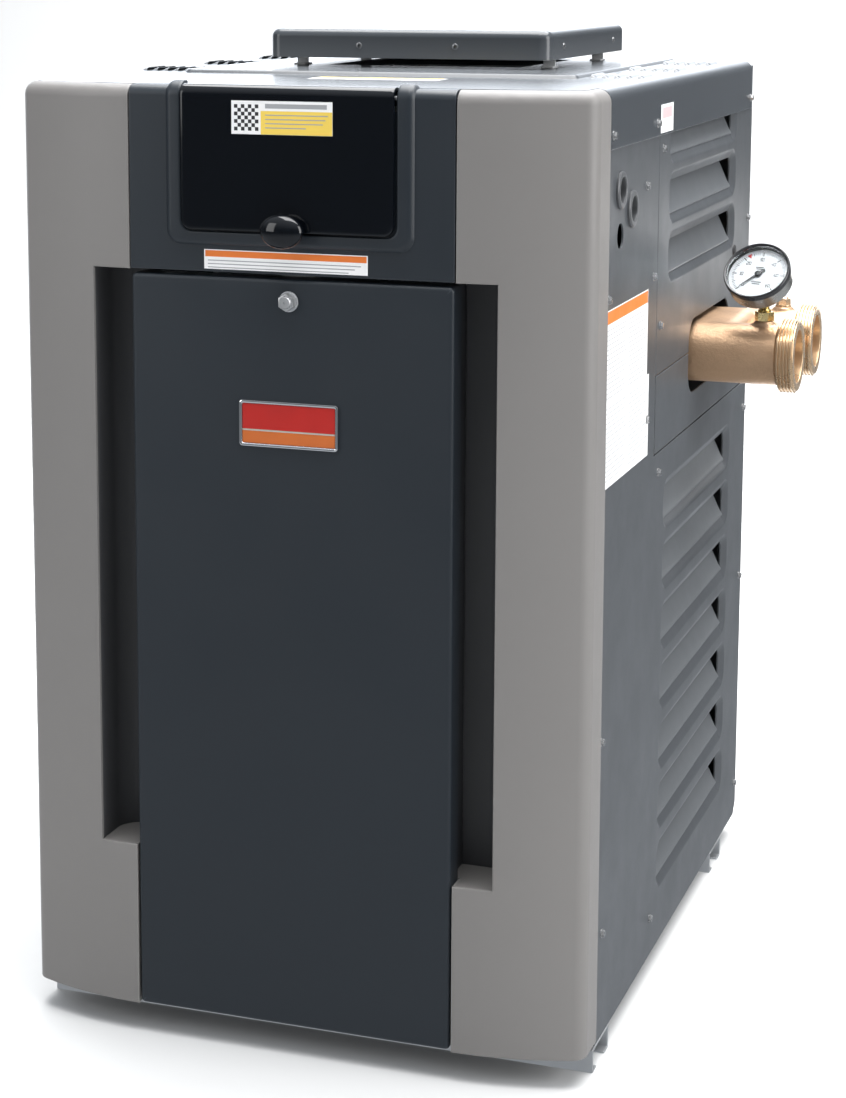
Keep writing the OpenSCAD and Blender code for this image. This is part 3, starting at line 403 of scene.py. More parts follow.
# Name, colour, least and greatest roughness, metallic, scale and strength of the colour clouds,
# scale and depth of the bump, and what else surface() takes
FINISHES = [
    ("slate_paint", (0.058, 0.063, 0.069), (0.33, 0.44), 0, 3, 0.10, (1500, 0.03),
     dict(worn=((0.20, 0.21, 0.22), 0.35))),
    # A darker, glossier copy of the slate paint for the top cover and the rain cap: the darker
    # colour is painted shade
    ("top_paint", (0.047, 0.053, 0.060), (0.20, 0.24), 0, 2, 0.08, (900, 0.002),
     dict(worn=((0.20, 0.21, 0.22), 0.35))),
    ("box_shadow", (0.03, 0.031, 0.032), (0.5, 0.6), 0.5, 14, 0.1, (700, 0.03), {}),
    ("front_paint", (0.014, 0.0195, 0.026), (0.36, 0.46), 0, 3, 0.10, (1500, 0.04),
     dict(worn=((0.12, 0.13, 0.15), 0.3))),
    ("column_paint", (0.188, 0.179, 0.172), (0.38, 0.50), 0, 2.5, 0.06, (1800, 0.03),
     dict(worn=((0.45, 0.44, 0.42), 0.25))),
    # A darker copy of the column paint for the walls of the grip recess: painted shade
    ("grip_paint", (0.060, 0.061, 0.064), (0.42, 0.55), 0, 3, 0.1, (1500, 0.04), {}),
    ("cover_plastic", (0.0022, 0.0032, 0.005), (0.05, 0.12), 0, 4, 0.15, (300, 0.003),
     dict(coat=0.2, gloss=0.4)),
    ("zinc_steel", (0.56, 0.57, 0.58), (0.30, 0.48), 0.85, 14, 0.10, (700, 0.03),
     dict(worn=((0.8, 0.8, 0.8), 0.4))),
    ("dark_zinc", (0.09, 0.095, 0.10), (0.18, 0.32), 0.7, 40, 0.15, (900, 0.02),
     dict(worn=((0.7, 0.7, 0.7), 0.6))),
    # A brighter, almost non-metallic copy of the steel for the cap legs: painted light against the
    # shadow under the rain cap
    ("leg_steel", (0.78, 0.79, 0.80), (0.45, 0.60), 0.1, 14, 0.08, (700, 0.03), {}),
    ("black_plastic", (0.025, 0.025, 0.027), (0.40, 0.60), 0, 25, 0.15, (2200, 0.05), {}),
    ("grommet_plastic", (0.075, 0.078, 0.082), (0.30, 0.42), 0, 25, 0.1, (2200, 0.03), {}),
    ("badge_chrome", (0.78, 0.79, 0.80), (0.06, 0.14), 1.0, 30, 0.04, (400, 0.004), {}),
    ("badge_enamel", (0.42, 0.018, 0.014), (0.12, 0.22), 0, 30, 0.12, (600, 0.01), dict(coat=0.5)),
    ("badge_orange", (0.52, 0.13, 0.028), (0.12, 0.22), 0, 30, 0.12, (600, 0.01), dict(coat=0.5)),
    ("badge_line", (0.75, 0.70, 0.60), (0.15, 0.25), 0.6, 30, 0.05, (600, 0.01), {}),
    ("panel_film", (0.035, 0.038, 0.042), (0.30, 0.42), 0, 20, 0.1, (2500, 0.03), {}),
    ("display_pane", (0.16, 0.20, 0.15), (0.10, 0.18), 0, 18, 0.08, (500, 0.004), dict(coat=0.5)),
    ("display_border", (0.02, 0.02, 0.022), (0.3, 0.4), 0, 18, 0.08, (900, 0.01), {}),
    ("button_grey", (0.52, 0.54, 0.57), (0.35, 0.50), 0, 40, 0.05, (2000, 0.02), {}),
    ("button_blue", (0.035, 0.12, 0.34), (0.35, 0.50), 0, 40, 0.06, (2000, 0.02), {}),
    ("button_red", (0.45, 0.04, 0.025), (0.35, 0.50), 0, 40, 0.06, (2000, 0.02), {}),
    ("circuit_board", (0.010, 0.075, 0.033), (0.25, 0.40), 0, 60, 0.25, (1200, 0.02), {}),
    ("transformer_iron", (0.075, 0.062, 0.05), (0.35, 0.55), 0.6, 30, 0.2, (800, 0.05),
     dict(stretch=(1, 14, 1))),
    ("valve_alloy", (0.40, 0.41, 0.43), (0.35, 0.50), 0.8, 16, 0.08, (900, 0.08), {}),
    ("black_pipe", (0.022, 0.022, 0.024), (0.35, 0.55), 0.2, 18, 0.2, (600, 0.06),
     dict(worn=((0.3, 0.3, 0.31), 0.4))),
    ("brass_parts", (0.62, 0.44, 0.15), (0.20, 0.34), 0.95, 30, 0.10, (900, 0.02),
     dict(worn=((0.9, 0.78, 0.45), 0.5))),
    ("burner_steel", (0.34, 0.31, 0.28), (0.25, 0.42), 0.9, 12, 0.18, (500, 0.03),
     dict(stretch=(6, 1, 6), blotch=((0.16, 0.12, 0.16), 9, 0.5))),
    ("refractory", (0.70, 0.67, 0.58), (0.80, 0.95), 0, 20, 0.08, (260, 0.5), dict(gloss=0.2)),
    ("copper_tubes", (0.62, 0.26, 0.14), (0.25, 0.42), 0.95, 16, 0.14, (700, 0.03),
     dict(worn=((0.85, 0.5, 0.35), 0.4))),
    ("cast_iron_parts", (0.06, 0.058, 0.055), (0.50, 0.70), 0.3, 20, 0.2, (420, 0.25), {}),
    ("bronze_casting", (0.62, 0.405, 0.25), (0.34, 0.50), 0.72, 11, 0.10, (330, 0.45),
     dict(worn=((0.85, 0.68, 0.50), 0.35), blotch=((0.42, 0.27, 0.17), 26, 0.35))),
    ("bronze_turned", (0.66, 0.47, 0.29), (0.24, 0.34), 0.80, 16, 0.05, (700, 0.012),
     dict(worn=((0.92, 0.80, 0.62), 0.5))),
    ("gauge_black", (0.028, 0.028, 0.030), (0.18, 0.30), 0.3, 30, 0.1, (900, 0.01),
     dict(coat=0.3)),
    ("gauge_band", (0.50, 0.49, 0.46), (0.18, 0.30), 0.95, 30, 0.06, (900, 0.01), {}),
    ("gauge_white", (0.80, 0.81, 0.82), (0.40, 0.55), 0, 30, 0.02, (1500, 0.01), {}),
    ("gauge_mark", (0.02, 0.02, 0.022), (0.45, 0.6), 0, 60, 0.1, (2000, 0.01), {}),
    ("gauge_pointer", (0.02, 0.02, 0.022), (0.3, 0.4), 0, 60, 0.1, (2000, 0.01), {}),
    ("gauge_red", (0.60, 0.02, 0.02), (0.40, 0.55), 0, 60, 0.06, (2000, 0.01), {}),
    ("label_white", (0.80, 0.80, 0.80), (0.42, 0.55), 0, 18, 0.02, (900, 0.01), {}),
    ("label_orange", (0.72, 0.17, 0.02), (0.42, 0.55), 0, 18, 0.05, (900, 0.01), {}),
    ("label_yellow", (0.80, 0.57, 0.09), (0.42, 0.55), 0, 18, 0.04, (900, 0.01), {}),
    ("label_grey", (0.32, 0.33, 0.34), (0.42, 0.55), 0, 18, 0.05, (900, 0.01), {}),
    ("label_pink", (0.75, 0.42, 0.43), (0.42, 0.55), 0, 18, 0.05, (900, 0.01), {}),
]
PAINT = {name: surface(name, *values, **extra) for name, *values, extra in FINISHES}


def glass(name):
    """Clear lens material."""
    made = surface(name, (0.95, 0.97, 0.98), (0.01, 0.03), cloud=20, tint=0.01, grain=(200, 0.001))
    shader = next(n for n in made.node_tree.nodes if n.type == "BSDF_PRINCIPLED")
    shader.inputs["Transmission Weight"].default_value = 1.0
    shader.inputs["IOR"].default_value = 1.12
    return made


PAINT["gauge_glass"] = glass("gauge_glass")

# Finishes of the CAD nodes: every node starts with its record slot's material
SLOT_OF = {s["node"]: s["material_slot"] for s in frame["record"]["subparts"]}
for node_name, cad in NODES.items():
    cad.data.materials.clear()
    cad.data.materials.append(PAINT[SLOT_OF[node_name]])

# --- Sheet panels and louvres --------------------------------------------------------------------

LOUVRE_W, LOUVRE_H, LOUVRE_R = 304.0, 31.0, 9.0
LOUVRE_MID = 76.0
LOWER_LOUVRES = [462 - 60 * i for i in range(7)]
UPPER_LOUVRES = [812 - 56 * i for i in range(3)]
REAR_LOUVRES = [420 - 60 * i for i in range(4)]
# How the sheet dips towards a louvre, as distances in from its outline and depths
EMBOSS_W = 10.0
EMBOSS = [(0, 0), (1.2, 0.15), (3, 0.9), (6, 2.7), (8.4, 4.1), (9.5, 4.6), (10, 5.0)]
BLADE_LEAN = 11.5
SEAM = 1.3
HEADER_TOP, HEADER_BOTTOM, UPPER_FRONT = 594.0, 519.0, -130.0
PORT_Y, PORT_Z = (62.0, 170.0), 590.0
CORE_Y = sum(PORT_Y) / 2
GROMMETS = [(-279, 781), (-236, 761)]
KNOCKOUT = (-277, 741)
GAS_HOLE = (-130, 265, 20)
PANEL_PLUG = (237, 671)


def louvre_outline(u, v, grow=0.0):
    return round_rect(u, v, LOUVRE_W + 2 * grow, LOUVRE_H + 2 * grow, LOUVRE_R + grow)


def add_louvre(shape, place, u, v):
    """The dip round an opening and the blade that leans inwards from its lower edge."""
    outer = [(EMBOSS_W - k, d) for k, d in EMBOSS]
    back = [(grow + 0.01, d + SHEET) for grow, d in reversed(outer)]
    loops = [[place(p, q, d) for p, q in louvre_outline(u, v, grow)] for grow, d in outer + back]
    shape.loft(loops)
    half = LOUVRE_H / 2
    fold = [(-1.4, 6.0), (-1.0, 4.4), (-0.2, 3.7), (0.8, 3.6), (1.9, 4.1)]
    rise = [(2 * half * k, 4.2 + BLADE_LEAN * k) for k in (0.2, 0.45, 0.75, 1.0)]
    blade = []
    for along, deep in fold + rise:
        reach = LOUVRE_W / 2 - 2 - 10 * max(0, along) / LOUVRE_H
        low = v - half + along
        blade.append([place(u - reach, low, deep), place(u + reach, low, deep),
                      place(u + reach, low - 0.4, deep + SHEET),
                      place(u - reach, low - 0.4, deep + SHEET)])
    shape.loft(blade, caps=(True, True))


def louvred_panel(shape, outline, place, mid, rows, holes=()):
    soft = [louvre_outline(mid, v, EMBOSS_W) for v in rows]
    shape.plate(outline, place, holes=holes, soft=soft)
    for v in rows:
        add_louvre(shape, place, mid, v)


# Boxes of the cabinet screws on the right, left and rear face
SCREWS = {0: [], 1: [], 2: []}
for low_corner, high_corner in islands("cabinet_screws"):
    middle_x = (low_corner.x + high_corner.x) / 2
    face_of = 2 if high_corner.y > HALF_D + 1 else (0 if middle_x > 0 else 1)
    SCREWS[face_of].append((low_corner, high_corner))


def make_side_panels():
    low, high = PANEL_LOW, PANEL_HIGH
    header = round_rect(CORE_Y, PORT_Z - 1, 200, 74, 24, 8)
    right = Shape()
    outline = [(-HALF_D, low), (HALF_D - 12, low), (HALF_D, low + 12), (HALF_D, HEADER_BOTTOM),
               (UPPER_FRONT, HEADER_BOTTOM), (UPPER_FRONT, high), (-HALF_D, high)]
    holes = [circle(*p, 14.1) for p in GROMMETS] + [circle(*KNOCKOUT, 11.1)]
    louvred_panel(right, outline, on_right, LOUVRE_MID, LOWER_LOUVRES, holes)
    add_flange(right, 1)
    right.piece("right_side_skin", "cabinet", "slate_paint", ["right_side_panel"])

    left = Shape()
    outline = [(-HALF_D, low), (HALF_D - 12, low), (HALF_D, low + 12), (HALF_D, high),
               (-HALF_D, high)]
    holes = [circle(*GAS_HOLE)]
    louvred_panel(left, outline, on_left, LOUVRE_MID, LOWER_LOUVRES + UPPER_LOUVRES, holes)
    add_flange(left, -1)
    left.piece("left_side_skin", "cabinet", "slate_paint", ["left_side_panel"])

    front = UPPER_FRONT + SEAM
    upper = Shape()
    cut = [p for p in header if p[1] > HEADER_TOP + SEAM]
    ends = sorted([p[0] for p in header_crossings(header, HEADER_TOP + SEAM)])
    outline = [(front, HEADER_TOP + SEAM), (ends[0], HEADER_TOP + SEAM), *sorted_arch(cut, True),
               (ends[1], HEADER_TOP + SEAM), (HALF_D, HEADER_TOP + SEAM), (HALF_D, high),
               (front, high)]
    louvred_panel(upper, outline, on_right, LOUVRE_MID, UPPER_LOUVRES)
    upper.piece("upper_louvre_skin", "cabinet", "slate_paint", ["upper_louvre_panel"])

    cover = Shape()
    cut = [p for p in header if p[1] < HEADER_TOP]
    ends = sorted([p[0] for p in header_crossings(header, HEADER_TOP)])
    front += 2.5
    outline = [(front, HEADER_BOTTOM + SEAM), (HALF_D, HEADER_BOTTOM + SEAM), (HALF_D, HEADER_TOP),
               (ends[1], HEADER_TOP), *sorted_arch(cut, False), (ends[0], HEADER_TOP),
               (front, HEADER_TOP)]
    cover.plate(outline, on_right, edge=0.6)
    cover.piece("header_cover_skin", "cabinet", "slate_paint", ["header_cover"])


def header_crossings(loop, v):
    """Where a loop crosses a height."""
    found = []
    for (x0, y0), (x1, y1) in zip(loop, loop[1:] + loop[:1]):
        if (y0 > v) != (y1 > v):
            found.append((x0 + (v - y0) * (x1 - x0) / (y1 - y0), v))
    return found


def sorted_arch(points, upper):
    """Points of the upper or lower part of a round cut-out, in the outline's order."""
    full = 2 * math.pi

    def upper_key(p):
        return (angle(p) + math.pi / 2) % full

    def lower_key(p):
        a = angle(p)
        return (a + math.pi) % full if a < 0.3 else a - math.pi

    angle = lambda p: math.atan2(p[1] - (PORT_Z - 1), p[0] - CORE_Y) % full
    unique = list(dict.fromkeys((round(x, 5), round(y, 5)) for x, y in points))
    return sorted(unique, key=upper_key if upper else lower_key, reverse=True)


def add_flange(shape, side):
    """The return flange at the front edge of a side panel."""
    inner = PANEL_X - SHEET
    place = lambda u, v, d: at(side * u, d - HALF_D, v)
    shape.plate(rect(inner - 16, PANEL_LOW, inner, PANEL_HIGH), place)


def make_rear_panel():
    shape = Shape()
    inner = PANEL_X - SHEET
    outline = rect(-inner, PANEL_LOW, inner, PANEL_HIGH)
    louvred_panel(shape, outline, on_rear, 0.0, REAR_LOUVRES)
    shape.piece("rear_skin", "cabinet", "slate_paint", ["rear_panel"])


def make_screws():
    """Hexagon heads on round flanges, where the frame has its screws."""
    shape = Shape()
    hexagon = arc(0, 0, 3.4, 0, 300, 5)
    for face, normal in ((0, (1, 0, 0)), (1, (-1, 0, 0)), (2, (0, 1, 0))):
        for lo, hi in SCREWS[face]:
            middle = (lo + hi) / 2
            head = [hi.x, lo.x, hi.y][face] - 3.0 * [1, -1, 1][face]
            origin = (middle.x, head, middle.z) if face == 2 else (head, middle.y, middle.z)
            place = facing(origin, normal)
            shape.lathe([(0.01, 0), (4.3, 0), (4.3, 0.4), (3.7, 0.8), (0.01, 0.8)], place, 20)
            shape.prism(hexagon, place, 0.7, 3.0, 0.6)
    shape.piece("hex_screws", "cabinet", "dark_zinc", ["cabinet_screws"], "zinc_steel")


def make_panel_plug():
    """A small push-in plug in the upper louvre panel."""
    shape = Shape()
    place = facing((PANEL_X, *PANEL_PLUG), (1, 0, 0))
    shape.lathe([(0.01, 0.05), (6.5, 0.05), (6.4, 1.0), (5.2, 1.9), (2.4, 2.4), (0.01, 2.5)],
                place, 28, closed=False)
    shape.piece("panel_plug", "cabinet", "black_plastic", slot="black_plastic")


def make_grommets():
    shape = Shape()
    profile = [(11.1, -6), (16, -6), (16.5, -5.5), (16.5, -1.6), (14, -1.5), (14, 0), (16.5, 0.1),
               (16.5, 1.6), (15.6, 2.7), (14.6, 3.0), (12.2, 3.0), (11.4, 2.4), (11.1, 1.2)]
    for y, z in GROMMETS:
        place = facing((PANEL_X, y, z), (1, 0, 0))
        shape.lathe(profile, place, 40)
    shape.piece("conduit_bushings", "cabinet", "grommet_plastic", ["conduit_grommets"],
                "black_plastic")


# --- Bent sheets: a flat outline wrapped along a plan line and over a round top edge -------------


class PlanLine:
    """A line in plan, followed by arc length, with its inward normal on the left."""

    def __init__(self, points):
        self.points = np.array(points, float)
        step = np.diff(self.points, axis=0)
        length = np.linalg.norm(step, axis=1)
        self.s = np.r_[0, np.cumsum(length)]
        normal = np.c_[-step[:, 1], step[:, 0]] / length[:, None]
        first = np.vstack([normal[:1], normal])
        last = np.vstack([normal, normal[-1:]])
        joined = first + last
        self.normals = joined / np.maximum(1 + (first * last).sum(1, keepdims=True), 0.4)

    @property
    def total(self):
        return self.s[-1]

    def where(self, s, depth):
        x, y = (np.interp(s, self.s, self.points[:, k]) for k in (0, 1))
        nx, ny = (np.interp(s, self.s, self.normals[:, k]) for k in (0, 1))
        return x + nx * depth, y + ny * depth

    def s_at_x(self, x):
        """The arc length at which the line first passes an x."""
        i = next(k for k in range(1, len(self.s)) if self.points[k, 0] >= x)
        a, b = self.points[i - 1, 0], self.points[i, 0]
        return self.s[i - 1] + (self.s[i] - self.s[i - 1]) * (x - a) / (b - a)


def wrapped(line, top, r, mirror=1):
    """place() for a sheet that follows a plan line and rolls over a top edge of radius r."""
    turn = r * math.pi / 2

    def place(s, v, d):
        over = v - (top - r)
        if over <= 0:
            depth, z = d, v
        elif over <= turn:
            depth, z = r - (r - d) * math.cos(over / r), top - r + (r - d) * math.sin(over / r)
        else:
            depth, z = r + over - turn, top - d
        x, y = line.where(s, depth)
        return at(mirror * x, y, z)

    return place


def round_rows(top, r, n=6):
    """Heights at which a sheet that rolls over a top edge is split."""
    return [top - r + r * math.pi / 2 * i / n for i in range(n + 1)]


BOW_R = 290.0
CORNER_R = 15.0


def column_points(start_x, n=14):
    """Plan points of the bowed column's outer face, from an x to the side panel."""
    cx, cy = DOOR_X, FRONT_Y + BOW_R
    dx = HALF_W - CORNER_R - DOOR_X
    dy = -math.sqrt((BOW_R - CORNER_R) ** 2 - dx ** 2)
    bend = math.degrees(math.atan2(dy, dx))
    first = -math.degrees(math.acos((start_x - cx) / BOW_R))
    corner = arc(cx + dx, cy + dy, CORNER_R, bend, 0, 7)[1:]
    return arc(cx, cy, BOW_R, first, bend, n) + corner + [(HALF_W, -HALF_D)]


NOTCH_X = 186.0
NOTCH_LOW, NOTCH_HIGH = 179.5, 708.5
NOTCH_BACK = FRONT_Y + 56


def make_columns():
    line = PlanLine(column_points(DOOR_X))
    notch = line.s_at_x(NOTCH_X)
    end = line.total
    top_v = FLUSH_Z - ROUND_TOP + ROUND_TOP * math.pi / 2
    outline = [(0, FRONT_LOW), (end, FRONT_LOW), (end, top_v), (0, top_v), (0, NOTCH_HIGH),
               (notch, NOTCH_HIGH), (notch, NOTCH_LOW), (0, NOTCH_LOW)]
    cove = arc(NOTCH_X - 20, NOTCH_BACK - 20, 20, 0, 90, 7)
    lining = PlanLine([(NOTCH_X, FRONT_Y + 2.6)] + cove + [(142.5, NOTCH_BACK)])
    rounded = arc(FRONT_Y + ROUND_TOP, FLUSH_Z - ROUND_TOP, ROUND_TOP - 0.6, 180, 90, 6)
    upper = [(FRONT_Y + 0.6, NOTCH_HIGH), (FRONT_Y + 20, NOTCH_HIGH), (FRONT_Y + 20, FLUSH_Z - 6),
             *rounded[::-1]]
    lower = rect(FRONT_Y + 0.6, FRONT_LOW + 0.5, FRONT_Y + 20, NOTCH_LOW)
    for side, name in ((1, "right"), (-1, "left")):
        shape = Shape()
        shape.plate(outline, wrapped(line, FLUSH_Z, ROUND_TOP, side), 2.5, edge=0.9,
                    rows=round_rows(FLUSH_Z, ROUND_TOP), cols=list(line.s[1:-1]))
        wall = lambda u, v, d, side=side: at(side * (DOOR_X + 0.1 + d), u, v)
        shape.plate(upper, wall, 2.0, edge=0.3)
        shape.plate(lower, wall, 2.0, edge=0.3)
        # Ledges that close the grip recess at its two ends
        ledge = [(141, FRONT_Y + 22), (DOOR_X + 0.6, FRONT_Y + 22), (DOOR_X + 0.6, FRONT_Y + 0.7),
                 (168, FRONT_Y + 1.3), (NOTCH_X, FRONT_Y + 2.9), *cove, (141, NOTCH_BACK)]
        for z, down in ((NOTCH_HIGH + 0.1, -1), (NOTCH_LOW - 0.1, 1)):
            floor = lambda u, v, d, z=z, down=down, side=side: at(side * u, v, z - down * d)
            shape.plate(ledge, floor, 1.5, edge=0.3)
        shape.piece(f"{name}_column_skin", "cabinet", "column_paint", [f"{name}_column"])

        # Walls of the grip recess, in a darker copy of the column paint: painted shade for the
        # recess
        inner = Shape()
        place = lambda s, v, d, side=side: at(*mirrored(lining.where(s, -d), side), v)
        inner.plate(rect(0, NOTCH_LOW, lining.total, NOTCH_HIGH), place, 2.0,
                    cols=list(lining.s[1:-1]), edge=0.3)
        lip = lambda u, v, d, side=side: at(side * (142.5 - d), u, v)
        inner.plate(rect(FRONT_Y + 24, NOTCH_LOW, NOTCH_BACK, NOTCH_HIGH), lip, 2.0)
        inner.piece(f"{name}_grip_shaded_lining", "cabinet", "grip_paint", slot="column_paint")


def mirrored(xy, side):
    return side * xy[0], xy[1]


# --- Fascia, flip cover and door -----------------------------------------------------------------

OPEN_HALF = 98.5
BEZEL_W, BEZEL_LOW = 15.0, 744.5
BEZEL_FOOT = 12.5
PROUD = 4.0
FASCIA_LOW = 709.0
HINGE_Y, HINGE_Z, ROLL_R = FRONT_Y + 2, 862.0, 9.5
COVER_HALF, COVER_LOW = 97.0, 746.0
FASCIA_ROUND = 9.0
WELL = (0, 800, 184, 96)
WINDOW_X, WINDOW_Z = -20, 817


def on_fascia(u, v, d):
    """A sheet that rolls back at the top of the fascia; a negative depth stands proud."""
    r, top = FASCIA_ROUND, FLUSH_Z
    over = v - (top - r)
    if over <= 0:
        return at(u, FRONT_Y + d, v)
    turn = r * math.pi / 2
    a = min(over, turn) / r
    back = max(over - turn, 0)
    return at(u, FRONT_Y + r - (r - d) * math.cos(a) + back, top - r + (r - d) * math.sin(a))


def make_fascia():
    half = DOOR_X - 1
    top_v = FLUSH_Z - FASCIA_ROUND + FASCIA_ROUND * math.pi / 2 + 6.8
    gap_low = HINGE_Z - ROLL_R - 1.5
    outline = [(-half, FASCIA_LOW), (half, FASCIA_LOW), (half, top_v), (OPEN_HALF, top_v),
               (OPEN_HALF, gap_low), (-OPEN_HALF, gap_low), (-OPEN_HALF, top_v), (-half, top_v)]
    shape = Shape()
    well = round_rect(*WELL, 3)
    rows = round_rows(FLUSH_Z, FASCIA_ROUND)
    shape.plate(outline, on_fascia, 2.5, holes=[well], rows=rows, edge=0.8)
    # Return edges at the sides and along the bottom
    for side in (-1, 1):
        wall = lambda u, v, d, side=side: at(side * (half - d), u, v)
        shape.plate(rect(FRONT_Y + 1, FASCIA_LOW, FRONT_Y + 20, FRONT_HIGH - 6), wall)
    sill = lambda u, v, d: at(u, v, FASCIA_LOW + d)
    shape.plate(rect(-half, FRONT_Y + 1, half, FRONT_Y + 20), sill)
    # Walls of the well, from the fascia back to the control panel
    rim = [round_rect(*WELL[:2], WELL[2] + 2 * g, WELL[3] + 2 * g, 3 + g) for g in (0, 2)]
    depths = [(0, 0.5), (0, 10), (1, 10), (1, 0.5)]
    shape.loft([[on_front(u, v, d) for u, v in rim[k]] for k, d in depths + depths[:1]])
    add_bezel(shape, top_v - 2)
    shape.piece("fascia_skin", "cabinet", "front_paint", ["control_fascia"])


def add_bezel(shape, top_v):
    """The raised frame round the flip cover: a soft bar that runs down, across and up."""
    across = [(0, -0.4), (0, 2.6), (0.03, 3.4), (0.08, 3.9), (0.16, PROUD), (0.60, PROUD),
              (0.74, 3.6), (0.86, 2.6), (0.94, 1.2), (1, 0.2), (1, -0.4)]
    rows = [v for v in round_rows(FLUSH_Z, FASCIA_ROUND) if v < top_v]

    def bar(k):
        half, low, r = OPEN_HALF + BEZEL_W * k, BEZEL_LOW - BEZEL_FOOT * k, 9.5 + 4 * k
        down = [(-half, v) for v in [top_v, *rows[::-1], 820, 780]]
        up = [(-x, v) for x, v in reversed(down)]
        left = arc(-half + r, low + r, r, 180, 270, 6)
        right = arc(half - r, low + r, r, 270, 360, 6)
        return down + left + [(-40, low), (0, low), (40, low)] + right + up

    bars = [(bar(k), h) for k, h in across]
    loops = [[on_fascia(*path[i], -h) for path, h in bars] for i in range(len(bars[0][0]))]
    shape.loft(loops, caps=(True, True))


def on_cover(u, v, d):
    """The flip cover: flat below the hinge, then rolled over the hinge's barrel."""
    if v <= HINGE_Z:
        return at(u, HINGE_Y - ROLL_R + d, v)
    a = (v - HINGE_Z) / ROLL_R
    return at(u, HINGE_Y - (ROLL_R - d) * math.cos(a), HINGE_Z + (ROLL_R - d) * math.sin(a))


def make_flip_cover():
    shape = Shape()
    half, r = COVER_HALF, 9.0
    top_v = HINGE_Z + ROLL_R * math.radians(215)
    outline = [*arc(-half + r, COVER_LOW + r, r, 180, 270, 6),
               *arc(half - r, COVER_LOW + r, r, 270, 360, 6), (half, top_v), (-half, top_v)]
    rows = [HINGE_Z + ROLL_R * math.radians(215) * i / 16 for i in range(16)]
    shape.plate(outline, on_cover, 3.0, rows=rows, edge=1.1)
    barrel = lambda x, y, h: at(h, HINGE_Y + x, HINGE_Z + y)
    shape.lathe([(2.1, -half + 0.6), (6.6, -half + 0.6), (6.6, half - 0.6), (2.1, half - 0.6)],
                barrel, 32)
    shape.piece("flip_cover_skin", "flip_cover", "cover_plastic", ["flip_cover"])

    knob = Shape()
    middle = (0, HINGE_Y - ROLL_R - 9, COVER_LOW + 2)
    squash = lambda x, y, h: at(middle[0] + 19.5 * x, middle[1] - 9 * h, middle[2] + 14.8 * y)
    ball = [(max(0.002, math.sin(math.pi * i / 28)), -math.cos(math.pi * i / 28))
            for i in range(29)]
    knob.lathe(ball, squash, 56, closed=False)
    stem = lambda x, y, h: at(x, HINGE_Y - ROLL_R + h, COVER_LOW + 2 + y)
    knob.lathe([(0.01, -2), (3, -2), (3, 3.2), (0.01, 3.2)], stem, 24)
    washer = [(3.0, 3.0), (6.0, 3.0), (6.0, 3.15), (3.0, 3.15)]
    knob.lathe(washer, stem, 24)
    knob.piece("cover_knob_skin", "flip_cover", "cover_plastic", ["cover_knob"])


def tray(shape, size, place, depth, r, corner, t=SHEET, holes=()):
    """A pressed tray: a flat face, edges rolled back over radius r, and a skirt."""
    (u0, v0), (u1, v1) = size
    loop = lambda k: round_rect((u0 + u1) / 2, (v0 + v1) / 2, u1 - u0 - 2 * k, v1 - v0 - 2 * k,
                                max(corner - k, 0.6), 7)
    bend = [math.radians(a) for a in range(0, 91, 15)]
    outer = [(r - r * math.sin(a), r - r * math.cos(a)) for a in bend] + [(0, depth)]
    inner = [(t, depth)] + [(r - (r - t) * math.sin(a), r - (r - t) * math.cos(a))
                            for a in reversed(bend)]
    shape.loft([[place(u, v, d) for u, v in loop(k)] for k, d in outer + inner])
    wide = [inset(hole, -2.0) for hole in holes]
    for d in (0.0, t):
        shape.loft([[place(u, v, d) for u, v in loop(k)] for k in (r, r + 2.0)])
        verts, tris = fill_flat(loop(r + 2.0), wide)
        shape.add([place(u, v, d) for u, v in verts], tris)
    for hole, rim in zip(holes, wide):
        path = ((rim, 0.0), (hole, 0.0), (hole, t), (rim, t))
        shape.loft([[place(u, v, d) for u, v in turn] for turn, d in path])


def make_door():
    shape = Shape()
    tray(shape, ((DOOR_LO.x, DOOR_LO.z), (DOOR_HI.x, DOOR_HI.z)), on_front, 22, 3.5, 4.5,
         holes=[circle(0, SCREW_Z, 4.1)])
    shape.piece("front_door_skin", "front_door", "front_paint", ["front_door"])


SCREW_LO, SCREW_HI = span("door_screw")
SCREW_Z = (SCREW_LO.z + SCREW_HI.z) / 2


def make_door_screw():
    """A thumb screw: round flange, hexagon with a chamfered face, and a turned boss."""
    shape = Shape()
    place = facing((0, FRONT_Y, SCREW_Z), (0, -1, 0))
    shape.lathe([(0.01, 0.05), (8.8, 0.05), (9.0, 0.3), (8.9, 1.0), (8.2, 1.5), (0.01, 1.5)],
                place, 40)
    shape.prism(arc(0, 0, 8.0, 30, 330, 5), place, 1.4, 8.0, 1.4)
    shape.lathe([(0.01, 7.8), (5.6, 7.8), (5.3, 9.3), (4.6, 10.0), (1.4, 10.0), (1.2, 9.2),
                 (0.01, 9.2)], place, 32)
    thread = [(0.01, 0.5)]
    for i in range(20):
        thread += [(4.0, -0.2 - 1.5 * i), (3.5, -0.9 - 1.5 * i)]
    thread += [(3.2, -30.9), (0.01, -30.9)]
    shape.lathe(thread, place, 24, closed=False)
    shape.piece("thumb_screw", "door_screw", "zinc_steel", ["door_screw"])


BADGE_Z = 578.0


